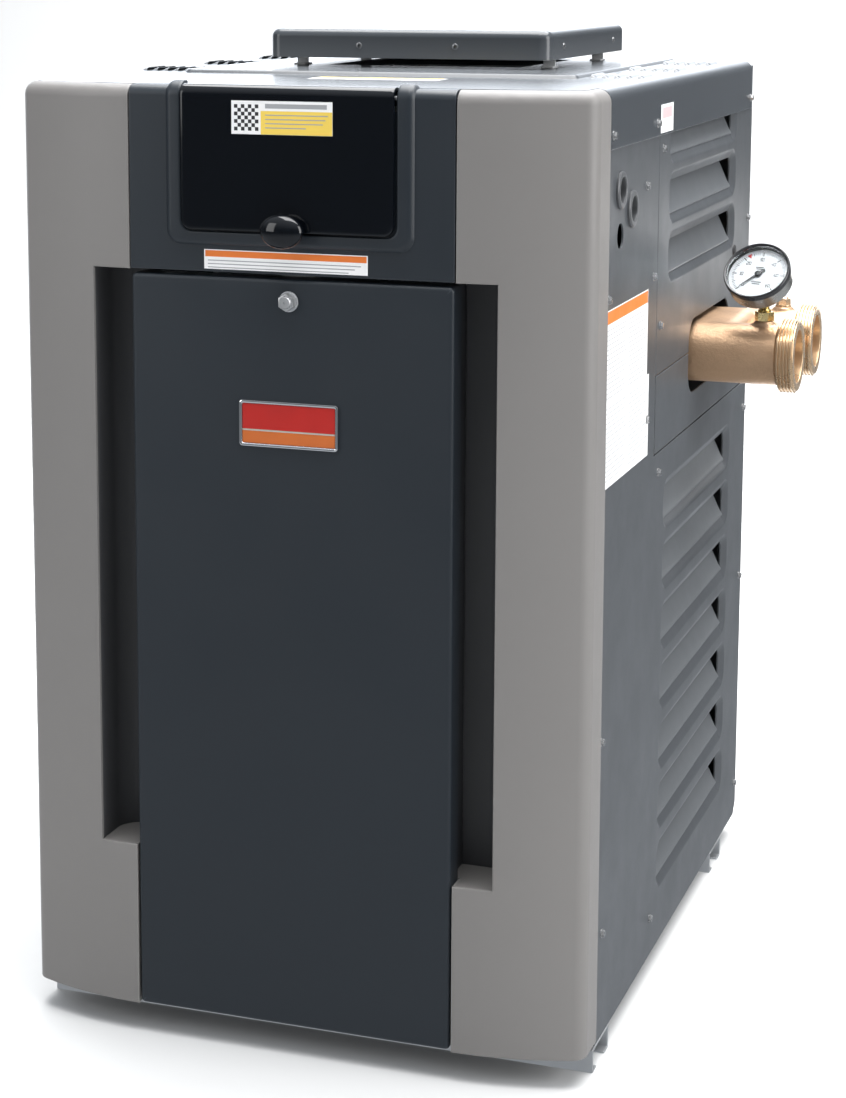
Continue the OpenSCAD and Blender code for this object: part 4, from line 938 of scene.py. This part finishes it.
def make_badge():
    """A bright rim round an enamel field in two colours, with no lettering."""
    rim = Shape()
    steps = [(0, 0.1), (0, 2.0), (0.4, 2.7), (1.1, 3.0), (2.0, 2.9), (2.7, 2.4), (3.0, 1.9),
             (3.0, 0.1)]
    loops = [[on_front(u, v, -h) for u, v in round_rect(0, BADGE_Z, 92 - 2 * k, 41 - 2 * k,
                                                         max(3.4 - k, 1.0), 6)] for k, h in steps]
    rim.loft(loops + loops[:1])
    rim.piece("badge_rim_skin", "front_door", "badge_chrome", ["badge_rim"])
    plate = Shape()
    low, high = BADGE_Z - 17.3, BADGE_Z + 17.3
    split = low + 11.5
    place = lambda u, v, h: on_front(u, v, -h)
    box = lambda a, b: rect(-42.8, a, 42.8, b)
    plate.prism(box(split + 0.7, high), place, 0.1, 1.8, 0.2, 0)
    plate.prism(box(low, split - 0.7), place, 0.1, 1.8, 0.2, 1)
    plate.prism(box(split - 0.75, split + 0.75), place, 0.1, 2.0, 0.2, 2)
    plate.piece("badge_field", "front_door", ["badge_enamel", "badge_orange", "badge_line"],
                ["badge_plate"])


# --- Top cover and rain cap ----------------------------------------------------------------------

PLATEAU = ((-195.0, -168.0), (195.0, 250.0))
VENT_Y = 77.0
BANKS = (-140.0, 10.0, 160.0)
SLOT_X = [202 + 11 * i for i in range(5)]
SLOT_L = 45.0


def make_top_cover():
    shape = Shape()
    rear_r = 14.0
    back_y = HALF_D + SHEET
    side = [(HALF_W, -HALF_D), (HALF_W, 0), (HALF_W, back_y - rear_r)]
    corner = arc(HALF_W - rear_r, back_y - rear_r, rear_r, 0, 90, 8)[1:]
    half_line = side + corner
    line = PlanLine(half_line + [(-x, y) for x, y in reversed(half_line)])
    top_v = RIM_Z - ROUND_TOP + ROUND_TOP * math.pi / 2
    outline = rect(0, SKIRT_Z, line.total, top_v)
    place = wrapped(line, RIM_Z, ROUND_TOP)
    shape.plate(outline, place, SHEET, rows=round_rows(RIM_Z, ROUND_TOP),
                cols=list(line.s[1:-1]), edge=0.4)

    # The flat top, whose front follows the columns
    inner = [cabinet(place(s, top_v, 0)) for s in line.s]
    inner = [(p.x, p.y) for p in inner]
    front_line = PlanLine(column_points(DOOR_X + 0.1))
    front = [front_line.where(s, ROUND_TOP + 0.2) for s in front_line.s]
    front_edge = FRONT_Y + 16
    front = [p for p in front if p[1] > front_edge]
    slope = [(-x, y) for x, y in reversed(front)] + front
    flat = list(dict.fromkeys((round(float(x), 4), round(float(y), 4)) for x, y in slope + inner))
    level = lambda u, v, d: at(u, v, RIM_Z - d)
    (u0, v0), (u1, v1) = PLATEAU
    step = lambda k: round_rect((u0 + u1) / 2, (v0 + v1) / 2, u1 - u0 - 2 * k, v1 - v0 - 2 * k,
                                9 - k, 5)
    slots = [round_rect(s * x, y + SLOT_L / 2, 3, SLOT_L, 1.4, 3)
             for s in (-1, 1) for x in SLOT_X for y in BANKS]
    spare = [circle(250, y, 3, 16) for y in (-12, 164)]
    crack = round_rect(192, 262, 124, 2.4, 1.1, 3)
    shape.plate(flat, level, SHEET, holes=slots + spare + [crack], soft=[step(0)], edge=0.0)
    rise = TOP_Z - RIM_Z
    dip = [(0, 0), (0.8, 0.25 * rise), (2.2, 0.8 * rise), (3.4, rise)]
    back = [(k, h - SHEET) for k, h in reversed(dip)]
    shape.loft([[level(u, v, -h) for u, v in step(k)] for k, h in dip + back])
    vent = round_rect(0, VENT_Y, 200, 200, 4)
    raised = lambda u, v, d: at(u, v, TOP_Z - d)
    for d in (0, SHEET):
        verts, tris = fill_flat(step(3.4), [vent])
        shape.add([raised(u, v, d) for u, v in verts], tris)
    shape.loft([[raised(u, v, d) for u, v in vent] for d in (0, SHEET)])
    # Pressed hoods over the slots, open towards the middle of the cabinet
    for s in (-1, 1):
        for x in SLOT_X:
            for y in BANKS:
                add_hood(shape, s, x, y)
    shape.piece("top_cover_skin", "cabinet", "top_paint", ["top_cover"], "slate_paint")


def add_hood(shape, side, x, y):
    """A hood that rises from the outer edge of a slot and leans over it."""
    outer = [(4.6, 0.02), (3.4, 0.5), (1.6, 1.9), (0.0, 2.6), (-1.6, 2.8)]
    inner = [(-1.6, 2.0), (0.0, 1.8), (1.6, 1.1), (3.0, -0.2), (4.2, -0.6)]
    lift = [(0, 0.0), (1.2, 0.45), (3, 0.85), (5.5, 1.0)]
    length = SLOT_L + 2
    stations = lift + [(length - k, h) for k, h in reversed(lift)]
    loops = [[at(side * (x + u), y - 1 + k, RIM_Z + (h * up if h > 0 else h))
              for u, h in outer + inner] for k, up in stations]
    shape.loft(loops, caps=(True, True))


def make_vent_cap():
    lo, hi = span("vent_cap")
    shape = Shape()
    place = lambda u, v, d: at(u, v, hi.z - d)
    tray(shape, ((lo.x, lo.y), (hi.x, hi.y)), place, hi.z - lo.z, 8.0, 12.0)
    shape.piece("vent_cap_skin", "cabinet", "top_paint", ["vent_cap"], "slate_paint")
    rivets = Shape()
    middle_z = (lo.z + hi.z) / 2 - 2
    dome = [(0.01, 0.0), (3.2, 0.0), (3.1, 0.4), (2.3, 0.9), (1.2, 1.0), (1.0, 0.4), (0.01, 0.4)]
    for side in (-1, 1):
        x, y = side * 49, VENT_Y + side * 99
        for origin, normal in (((x, lo.y, middle_z), (0, -1, 0)),
                               ((x, hi.y, middle_z), (0, 1, 0)),
                               ((hi.x, y, middle_z), (1, 0, 0)),
                               ((lo.x, y, middle_z), (-1, 0, 0))):
            rivets.lathe(dome, facing(origin, normal), 16, closed=False)
    rivets.piece("cap_rivets", "cabinet", "dark_zinc", slot="zinc_steel")


# --- Water header --------------------------------------------------------------------------------

HEADER_LO, HEADER_HI = span("water_header")
RING_X = HEADER_HI.x - 17.5
NECK_R, BORE_R, SOCKET_R = 30.0, 25.0, 26.25
BOSS_X = 329.0


def along_x(y):
    """place(x, y, height) for a lathe on a port's axis: the height is the cabinet's x."""
    return lambda a, b, h: at(h, y + a, PORT_Z + b)


def make_water_header():
    cast = Shape()
    back = HEADER_LO.x
    flange = round_rect(CORE_Y, PORT_Z, HEADER_HI.y - HEADER_LO.y, 66, 5, 4)
    slab = [(0, back), (0, back + 29), (0.8, back + 31), (2.5, back + 32)]
    cast.loft([[at(x, u, v) for u, v in inset(flange, k)] for k, x in slab], caps=(True, True))
    stadium = [*arc(PORT_Y[1], PORT_Z, NECK_R, -90, 90, 24),
               *arc(PORT_Y[0], PORT_Z, NECK_R, 90, 270, 24)]
    bulge = [(0, back + 28), (0, 292), (1.2, 298), (4.5, 303), (9, 305.5)]
    cast.loft([[at(x, u, v) for u, v in inset(stadium, k)] for k, x in bulge], caps=(True, True))
    for y in PORT_Y:
        cast.lathe([(0.01, back + 28), (NECK_R, back + 28), (NECK_R, RING_X + 1),
                    (0.01, RING_X + 1)], along_x(y), 64)
        boss = lambda a, b, h, y=y: at(BOSS_X + a, y + b, PORT_Z + h)
        cast.lathe([(0.01, 20), (11, 20), (10, 31), (9.4, 34), (0.01, 34)], boss, 32)
    header = cast.piece("water_header_casting", "cabinet", "bronze_casting")
    melt(header, 1.8, 4)
    for y in PORT_Y:
        bore = Shape()
        bore.lathe([(0.01, back + 6), (BORE_R, back + 6), (BORE_R, 352), (0.01, 352)],
                   along_x(y), 64)
        carve(header, bore)
    finish_piece(header, "cabinet", ["water_header"], "bronze_casting", 40)

    rings = Shape()
    major, root = 36.7, 34.9
    for y in PORT_Y:
        profile = [(NECK_R - 0.4, RING_X - 2.6), (NECK_R + 0.2, RING_X - 2.4),
                   (NECK_R + 1.4, RING_X - 0.8), (root - 0.8, RING_X), (root, RING_X + 0.4)]
        for i in range(5):
            x = RING_X + 0.8 + 3.2 * i
            profile += [(root, x), (major, x + 0.8), (major, x + 1.6), (root, x + 2.4)]
        face = HEADER_HI.x
        profile += [(root, face - 0.8), (root - 0.7, face), (SOCKET_R + 1.0, face),
                    (SOCKET_R, face - 1.0), (SOCKET_R, face - 20), (BORE_R, face - 20.4)]
        rings.lathe(profile, along_x(y), 96)
    rings.piece("port_threads", "cabinet", "bronze_turned", slot="bronze_casting", smooth=50)


def melt(obj, voxel, rounds):
    """Joins a piece's closed parts into one skin and softens where they meet."""
    remesh = obj.modifiers.new("Remesh", "REMESH")
    remesh.mode = "VOXEL"
    remesh.voxel_size = voxel * MM
    smooth = obj.modifiers.new("Smooth", "SMOOTH")
    smooth.iterations = rounds
    smooth.factor = 0.5
    apply_modifiers(obj)


def apply_modifiers(obj):
    graph = bpy.context.evaluated_depsgraph_get()
    made = bpy.data.meshes.new_from_object(obj.evaluated_get(graph))
    obj.modifiers.clear()
    old = obj.data
    obj.data = made
    bpy.data.meshes.remove(old)


def carve(obj, shape):
    """Takes a closed shape out of a piece."""
    tool = shape.piece("carving_tool", "cabinet", "bronze_turned")
    cut = obj.modifiers.new("Boolean", "BOOLEAN")
    cut.operation = "DIFFERENCE"
    cut.solver = "EXACT"
    cut.object = tool
    apply_modifiers(obj)
    bpy.data.objects.remove(tool)


def make_header_plug():
    shape = Shape()
    place = lambda x, y, h: at(BOSS_X + x, PORT_Y[1] + y, PORT_Z + h)
    shape.lathe([(0.01, 27), (5.8, 27), (5.8, 34.2), (0.01, 34.2)], place, 32)
    shape.lathe([(0.01, 34.0), (8.0, 34.0), (8.2, 34.5), (8.0, 35.4), (0.01, 35.4)], place, 40)
    shape.prism(arc(0, 0, 7.5, 0, 300, 5), place, 35, 42.2, 1.0)
    dome = [(5.4, 41.9), (5.3, 42.6), (4.4, 43.4), (2.6, 43.9), (0.01, 44.0)]
    shape.lathe(dome, place, 32, closed=False)
    shape.piece("header_plug_skin", "cabinet", "bronze_turned", ["header_plug"], "bronze_casting")


# --- Gauge ---------------------------------------------------------------------------------------

DIAL_TOP = 30.0
ZERO_AT, DIVISION = 225, 4.5
GAUGE_BASE = (BOSS_X, PORT_Y[0], PORT_Z + 30)
GAUGE_TURN = Matrix.Rotation(math.radians(-8), 3, "Z") @ Matrix.Rotation(math.radians(48), 3, "X")
GAUGE_MIDDLE = Vector((GAUGE_BASE[0], GAUGE_BASE[1], GAUGE_BASE[2] + 32))


def on_gauge(x, y, h):
    return at(*(GAUGE_MIDDLE + GAUGE_TURN @ Vector((x, y, h))))


def make_gauge():
    case = Shape()
    case.lathe([(0.01, 12), (4, 12), (20, 12.2), (27, 13), (30, 15), (31.2, 18), (31.3, 28.4),
                (30.0, 28.4), (1.2, 28.4), (1.2, 13), (0.01, 13)], on_gauge, 72)
    case.lathe([(31.25, 17.5), (31.6, 17.6), (31.7, 18.2), (31.7, 31.6), (31.2, 31.8),
                (30.2, 31.8)], on_gauge, 72, paint=1)
    case.lathe([(30.0, 31.4), (32.2, 31.4), (33.0, 32.2), (33.0, 36.6), (32.6, 37.5),
                (31.8, 38.0), (30.9, 37.8), (30.2, 37.0), (29.9, 35.2)], on_gauge, 72)
    case.piece("gauge_case_skin", "cabinet", ["gauge_black", "gauge_band"], ["gauge_case"],
               smooth=40)

    dial = Shape()
    dial.lathe([(1.15, 29), (29.7, 29), (29.8, 29.3), (29.7, 29.9), (29.2, 30), (1.15, 30)],
               on_gauge, 72)
    for i in range(61):
        turn = math.radians(ZERO_AT - DIVISION * i)
        major = i % 10 == 0
        length, width = (4.2, 1.0) if major else (2.2, 0.35) if i % 5 else (3.2, 0.6)
        add_bar(dial, turn, 26.4 - length, 26.4, width, 1)
        if major:
            add_figures(dial, polar(turn, 17.8, 0), str(i), 1)
    red = math.radians(122)
    tri = [polar(red, 26.5, -2.3), polar(red, 26.5, 2.3), polar(red, 21.5, 0)]
    add_print(dial, tri, 30.35, 2)
    for x, y, w in ((-4.5, 8.0, 9), (-3.5, 6.0, 7), (-5, -9.5, 10), (-4, -11.8, 8)):
        add_print(dial, rect(x, y, x + w, y + 1.0), 30.15, 1)
    dial.piece("gauge_dial_skin", "cabinet", ["gauge_white", "gauge_mark", "gauge_red"],
               ["gauge_dial"])

    needle = Shape()
    turn = math.radians(ZERO_AT)
    outline = [polar(turn, -8, -1.5), polar(turn, -8, 1.5), polar(turn, 0, 1.2),
               polar(turn, 22, 0.25), polar(turn, 22, -0.25), polar(turn, 0, -1.2)]
    needle.prism(outline[::-1], on_gauge, 31.2, 31.8, 0.1)
    needle.lathe([(0.01, 25), (1.0, 25), (1.0, 31), (3.2, 31), (3.4, 31.3), (3.3, 32.2),
                  (2.6, 32.6), (0.01, 32.7)], on_gauge, 32, closed=False)
    needle.piece("gauge_pointer_skin", "gauge_needle", "gauge_pointer", ["gauge_needle"])

    elbow = Shape()
    place = lambda x, y, h: at(GAUGE_BASE[0] + x, GAUGE_BASE[1] + y, GAUGE_BASE[2] + h)
    elbow.prism(arc(0, 0, 9.5, 0, 300, 5), place, 4.1, 13, 0.9)
    elbow.lathe([(0.01, -2), (4.7, -2), (4.7, 4.5), (6.5, 13), (6.4, 14.5), (4.9, 16),
                 (4.9, 32), (0.01, 32)], place, 32)
    ball = [(max(0.01, 6.4 * math.sin(math.pi * i / 14)), 32 - 6.4 * math.cos(math.pi * i / 14))
            for i in range(15)]
    elbow.lathe(ball, place, 32, closed=False)
    elbow.lathe([(0.01, 0), (5, 0), (5, 8), (7.5, 8.6), (7.5, 11.4), (6.6, 12), (0.01, 12)],
                on_gauge, 32)
    elbow.piece("gauge_elbow_skin", "cabinet", "brass_parts", ["gauge_elbow"])


def add_print(shape, outline, high, paint):
    """A thin print that stands a little above the dial."""
    loops = [[on_gauge(x, y, h) for x, y in outline] for h in (DIAL_TOP - 0.1, high)]
    shape.loft(loops, paint, caps=(True, True))


def polar(turn, out, aside):
    """A point of the dial, out from the middle along a direction and to one side of it."""
    return (out * math.cos(turn) - aside * math.sin(turn),
            out * math.sin(turn) + aside * math.cos(turn))


STROKES = {"a": (0, 1, 1, 1), "b": (1, 0.5, 1, 1), "c": (1, 0, 1, 0.5), "d": (0, 0, 1, 0),
           "e": (0, 0, 0, 0.5), "f": (0, 0.5, 0, 1), "g": (0, 0.5, 1, 0.5)}
FIGURES = {"0": "abcdef", "1": "bc", "2": "abged", "3": "abgcd", "4": "fgbc", "5": "afgcd",
           "6": "afgedc"}


def add_figures(shape, centre, text, paint):
    """Figures of straight strokes, side by side on the dial."""
    wide, tall, gap, half = 1.7, 3.4, 0.9, 0.3
    left = centre[0] - (len(text) * wide + (len(text) - 1) * gap) / 2
    for i, figure in enumerate(text):
        for stroke in FIGURES[figure]:
            x0, y0, x1, y1 = STROKES[stroke]
            u0, u1 = (left + i * (wide + gap) + wide * x for x in (x0, x1))
            v0, v1 = (centre[1] - tall / 2 + tall * y for y in (y0, y1))
            box = rect(u0 - half, v0 - half, u1 + half, v1 + half)
            add_print(shape, box, 30.12, paint)


def add_bar(shape, turn, inner, outer, width, paint):
    """One mark of the scale, from an inner to an outer radius."""
    half = width / 2
    bar = [polar(turn, inner, -half), polar(turn, outer, -half), polar(turn, outer, half),
           polar(turn, inner, half)]
    add_print(shape, bar, 30.15, paint)


# --- Controls under the flip cover ---------------------------------------------------------------


def make_controls():
    lo, hi = span("control_panel")
    film = Shape()
    place = lambda u, v, d: at(u, lo.y + d, v)
    buttons = {n: span(n) for n in ("button_mode", "button_down", "button_up")}
    holes = [circle((a.x + b.x) / 2, (a.z + b.z) / 2, 7.3, 32) for a, b in buttons.values()]
    window = round_rect(WINDOW_X, WINDOW_Z, 100, 34, 2)
    film.plate(rect(lo.x, lo.z, hi.x, hi.z), place, 2.0, holes=holes + [window], edge=0.3)
    film.piece("control_film", "cabinet", "panel_film", ["control_panel"])
    lo, hi = span("display_window")
    pane = Shape()
    face = lambda u, v, h: at(u, lo.y + 1 - h, v)
    pane.prism(round_rect(WINDOW_X, WINDOW_Z, 99.6, 33.6, 1.9), face, -4.0, 1.0, 0.4, 0)
    pane.prism(round_rect(WINDOW_X, WINDOW_Z, 108, 42, 3), face, -5.0, -3.1, 0.2, 1)
    pane.piece("display_pane_skin", "cabinet", ["display_pane", "display_border"],
               ["display_window"])
    for name, (lo, hi) in buttons.items():
        key = Shape()
        x, z = (lo.x + hi.x) / 2, (lo.z + hi.z) / 2
        spot = facing((x, lo.y, z), (0, -1, 0))
        key.lathe([(0.01, -12), (8.5, -12), (8.5, -5.3), (7.0, -5.2), (7.0, -1.0), (6.6, -0.3),
                   (5.8, 0), (4.5, -0.25), (0.01, -0.5)], spot, 40, closed=False)
        key.piece(f"{name}_key", name, SLOT_OF[name], [name])


# --- Labels: plain bands of colour, with no lettering --------------------------------------------


def label(name, body, place, patches, slot):
    """A stuck-on sheet: patches are (u0, v0, u1, v1, height, material)."""
    shape = Shape()
    paints = list(dict.fromkeys(p[5] for p in patches))
    for u0, v0, u1, v1, high, paint in patches:
        shape.prism(rect(u0, v0, u1, v1), place, 0.0, high, 0.04, paints.index(paint))
    shape.piece(name, body, paints, slot=slot)


def rules(u0, u1, v_from, v_to, pitch, high, weight=0.9, paint="label_grey"):
    """Thin grey rules that stand for print; every few are short."""
    found, v, k = [], v_from, 0
    while v > v_to:
        end = u1 - (u1 - u0) * (0.35 if k % 4 == 3 else 0.04 * (k % 3))
        found.append((u0, v - weight, end, v, high, paint))
        v -= pitch
        k += 1
    return found


def checks(u, v, size, count, high):
    """A plain chequered square."""
    return [(u + size * i, v + size * k, u + size * (i + 1), v + size * (k + 1), high,
             "gauge_mark") for i in range(count) for k in range(count) if (i + k) % 2 == 0]


def make_labels():
    cover = lambda u, v, h: at(u, HINGE_Y - ROLL_R - h, v)
    label("cover_label", "flip_cover", cover, [
        (-49, 829.5, 43, 858, 0.15, "label_white"),
        (-22, 829.6, 42.8, 849.5, 0.2, "label_yellow"),
        *checks(-46.5, 832.5, 3.2, 7, 0.2),
        (-18, 851.7, 38, 855.6, 0.2, "label_grey"),
        *rules(-18, 39, 846.5, 833, 3.6, 0.25),
    ], "gauge_white")
    fascia = lambda u, v, h: on_front(u, v, -h)
    label("fascia_label", "cabinet", fascia, [
        (-78.5, 711.5, 72, 728.5, 0.15, "label_white"),
        (-77.5, 722.2, 71, 727.7, 0.2, "label_orange"),
        *rules(-75, 66, 719.5, 713, 3.0, 0.2),
    ], "gauge_white")
    side = lambda u, v, h: on_right(u, v, -h)
    label("side_label", "cabinet", side, [
        (-320.5, 600, -166, 681, 0.15, "label_white"),
        (-320, 669, -167, 680, 0.2, "label_orange"),
        *rules(-317, -246, 664, 604, 4.2, 0.2),
        *rules(-242, -171, 664, 604, 4.2, 0.2),
        (-320.5, 526, -158, 602, 0.25, "label_white"),
        *rules(-317, -242, 596, 531, 4.2, 0.3),
        *rules(-238, -163, 596, 531, 4.2, 0.3),
    ], "gauge_white")
    label("top_label", "cabinet", lambda u, v, h: at(u, v, RIM_Z + h), [
        (-36, -248, 86, -212, 0.15, "label_white"),
        (-34, -240, 84, -214, 0.2, "label_yellow"),
    ], "gauge_white")
    label("skirt_label", "cabinet", lambda u, v, h: at(HALF_W + h, u, v), [
        (-133, 820, -82, 846, 0.15, "label_white"),
        (-127, 833, -88, 843, 0.2, "label_pink"),
        *rules(-126, -90, 830, 823, 3.0, 0.2, 0.9, "label_pink"),
    ], "gauge_white")


# --- Inner parts that keep their CAD shape -------------------------------------------------------

SOFT_EDGES = {
    "base_rails": 0.8, "base_pan": 0.4, "cap_legs": 0.3, "screw_receiver": 0.4, "control_tray": 0.4,
    "control_board": 0.2, "transformer": 0.6, "junction_box": 0.4, "terminal_block": 0.3,
    "gas_valve": 1.2, "gas_valve_knob": 0.6, "gas_inlet_pipe": 0.5, "gas_manifold": 0.6,
    "gas_orifices": 0.3, "burner_tray": 0.4, "burners": 0.4, "igniter": 0.3, "firebox": 0.4,
    "refractory_panels": 1.0, "tube_sheets": 1.0, "exchanger_baffles": 0.3, "return_header": 1.8,
    "header_bolts": 0.5, "bypass_poppet": 0.3, "pressure_switch": 0.5, "limit_switches": 0.4,
}


def soften_frame():
    for name, width in SOFT_EDGES.items():
        cad = NODES[name]
        weld = cad.modifiers.new("Weld", "WELD")
        weld.merge_threshold = 1e-5
        flat = cad.modifiers.new("Decimate", "DECIMATE")
        flat.decimate_type = "DISSOLVE"
        flat.angle_limit = math.radians(0.5)
        bevel = cad.modifiers.new("Bevel", "BEVEL")
        bevel.width = width * MM
        bevel.segments = 2
        bevel.limit_method = "ANGLE"
        bevel.angle_limit = math.radians(40)
        bevel.harden_normals = True


# --- Stage ---------------------------------------------------------------------------------------


def plain(name, colour, rough):
    return surface(name, colour, (rough, rough + 0.1), cloud=1.5, tint=0.01, grain=(60, 0.02),
                   gloss=0.2)


def make_stage():
    """A pale floor that curves up into a backdrop."""
    middle = at(0, 0, 0)
    shape = Shape()
    half, front, back, r, high = 6.0, -5.0, 5.4, 1.6, 6.0
    line = [(front, 0.0), (back - r, 0.0)]
    line += [(back - r + r * math.sin(a), r - r * math.cos(a))
             for a in [math.radians(9 * i) for i in range(1, 11)]]
    line += [(back, high)]
    loops = [[(middle.x + x, middle.y + y, z) for x in (-half, 0, half)] for y, z in line]
    shape.loft(loops, closed=False)
    mesh = bpy.data.meshes.new("floor")
    mesh.from_pydata(shape.points, [], shape.faces)
    mesh.materials.append(plain("floor_paper", (0.66, 0.66, 0.655), 0.7))
    floor = bpy.data.objects.new("floor", mesh)
    bpy.context.scene.collection.objects.link(floor)
    mesh.shade_smooth()
    floor.visible_glossy = False


def area_light(name, origin, target, size, power):
    data = bpy.data.lights.new(name, "AREA")
    data.shape = "RECTANGLE"
    data.size, data.size_y = size
    data.energy = power
    lamp = bpy.data.objects.new(name, data)
    bpy.context.scene.collection.objects.link(lamp)
    lamp.location = Vector(origin)
    lamp.rotation_euler = (Vector(target) - Vector(origin)).to_track_quat("-Z", "Y").to_euler()


def make_lights():
    middle = at(0, 0, 450)
    area_light("top_box", middle + Vector((0.3, 0.2, 2.8)), middle, (3.0, 3.0), 255)
    area_light("right_box", middle + Vector((3.0, -0.6, 1.0)), middle, (1.6, 2.4), 66)
    area_light("left_box", middle + Vector((-2.4, -2.8, 1.2)), middle, (1.6, 2.2), 30)
    area_light("back_wash", middle + Vector((0.0, 2.6, 3.6)), middle + Vector((0, 5.4, 0.4)),
               (5.0, 1.0), 250)
    area_light("side_glint", at(520, 900, 600), at(265, -170, 690), (0.14, 0.14), 0.2)
    make_world()
    bpy.context.scene.view_settings.view_transform = "Standard"


def make_world():
    """A studio that is bright overhead and behind to the left, and dark in front."""
    world = bpy.data.worlds.new("studio")
    world.use_nodes = True
    node, link, map_range = node_tools(world.node_tree)
    background = world.node_tree.nodes["Background"]
    background.inputs["Color"].default_value = (0.88, 0.93, 1.0, 1)
    parts = node("ShaderNodeSeparateXYZ")
    link(node("ShaderNodeTexCoord").outputs["Generated"], parts.inputs["Vector"])
    x, y, z = (parts.outputs[axis] for axis in "XYZ")

    def join(kind, a, b):
        made = node("ShaderNodeMath", operation=kind)
        link(a, made.inputs[0])
        link(b, made.inputs[1])
        return made.outputs["Value"]

    overhead = map_range(z, 0.15, 0.9, 0.10, 0.9)
    below = map_range(z, -0.12, -0.40, 0.0, 0.45)
    behind = join("MULTIPLY", map_range(y, 0.3, 0.85, 0.0, 3.4),
                  map_range(x, 0.12, -0.12, 0.0, 1.0))
    total = join("ADD", join("ADD", overhead, below), behind)
    link(total, background.inputs["Strength"])
    bpy.context.scene.world = world


def make_camera():
    """The solved camera: its place in the cabinet's own millimetres, and where it looks."""
    yaw, pitch = -0.3495, -0.1502
    data = bpy.data.cameras.new("camera")
    data.sensor_width = 36.0
    data.lens = 79.67
    data.shift_x, data.shift_y = 0.0719, -0.2004
    data.clip_end = 100
    camera = bpy.data.objects.new("camera", data)
    bpy.context.scene.collection.objects.link(camera)
    camera.location = at(752.6, -2314.1, 975.2)
    forward = Vector((math.sin(yaw) * math.cos(pitch), math.cos(yaw) * math.cos(pitch),
                      math.sin(pitch)))
    camera.rotation_euler = forward.to_track_quat("-Z", "Y").to_euler()
    bpy.context.scene.camera = camera


# --- Building ------------------------------------------------------------------------------------

make_camera()
make_side_panels()
make_rear_panel()
make_screws()
make_grommets()
make_panel_plug()
make_columns()
make_fascia()
make_flip_cover()
make_door()
make_door_screw()
make_badge()
make_top_cover()
make_vent_cap()
make_water_header()
make_header_plug()
make_gauge()
make_controls()
make_labels()
soften_frame()
# The cap legs get the brighter copy of the steel: painted light under the rain cap's shadow
NODES["cap_legs"].data.materials[0] = PAINT["leg_steel"]
NODES["junction_box"].data.materials[0] = PAINT["box_shadow"]
make_stage()
make_lights()
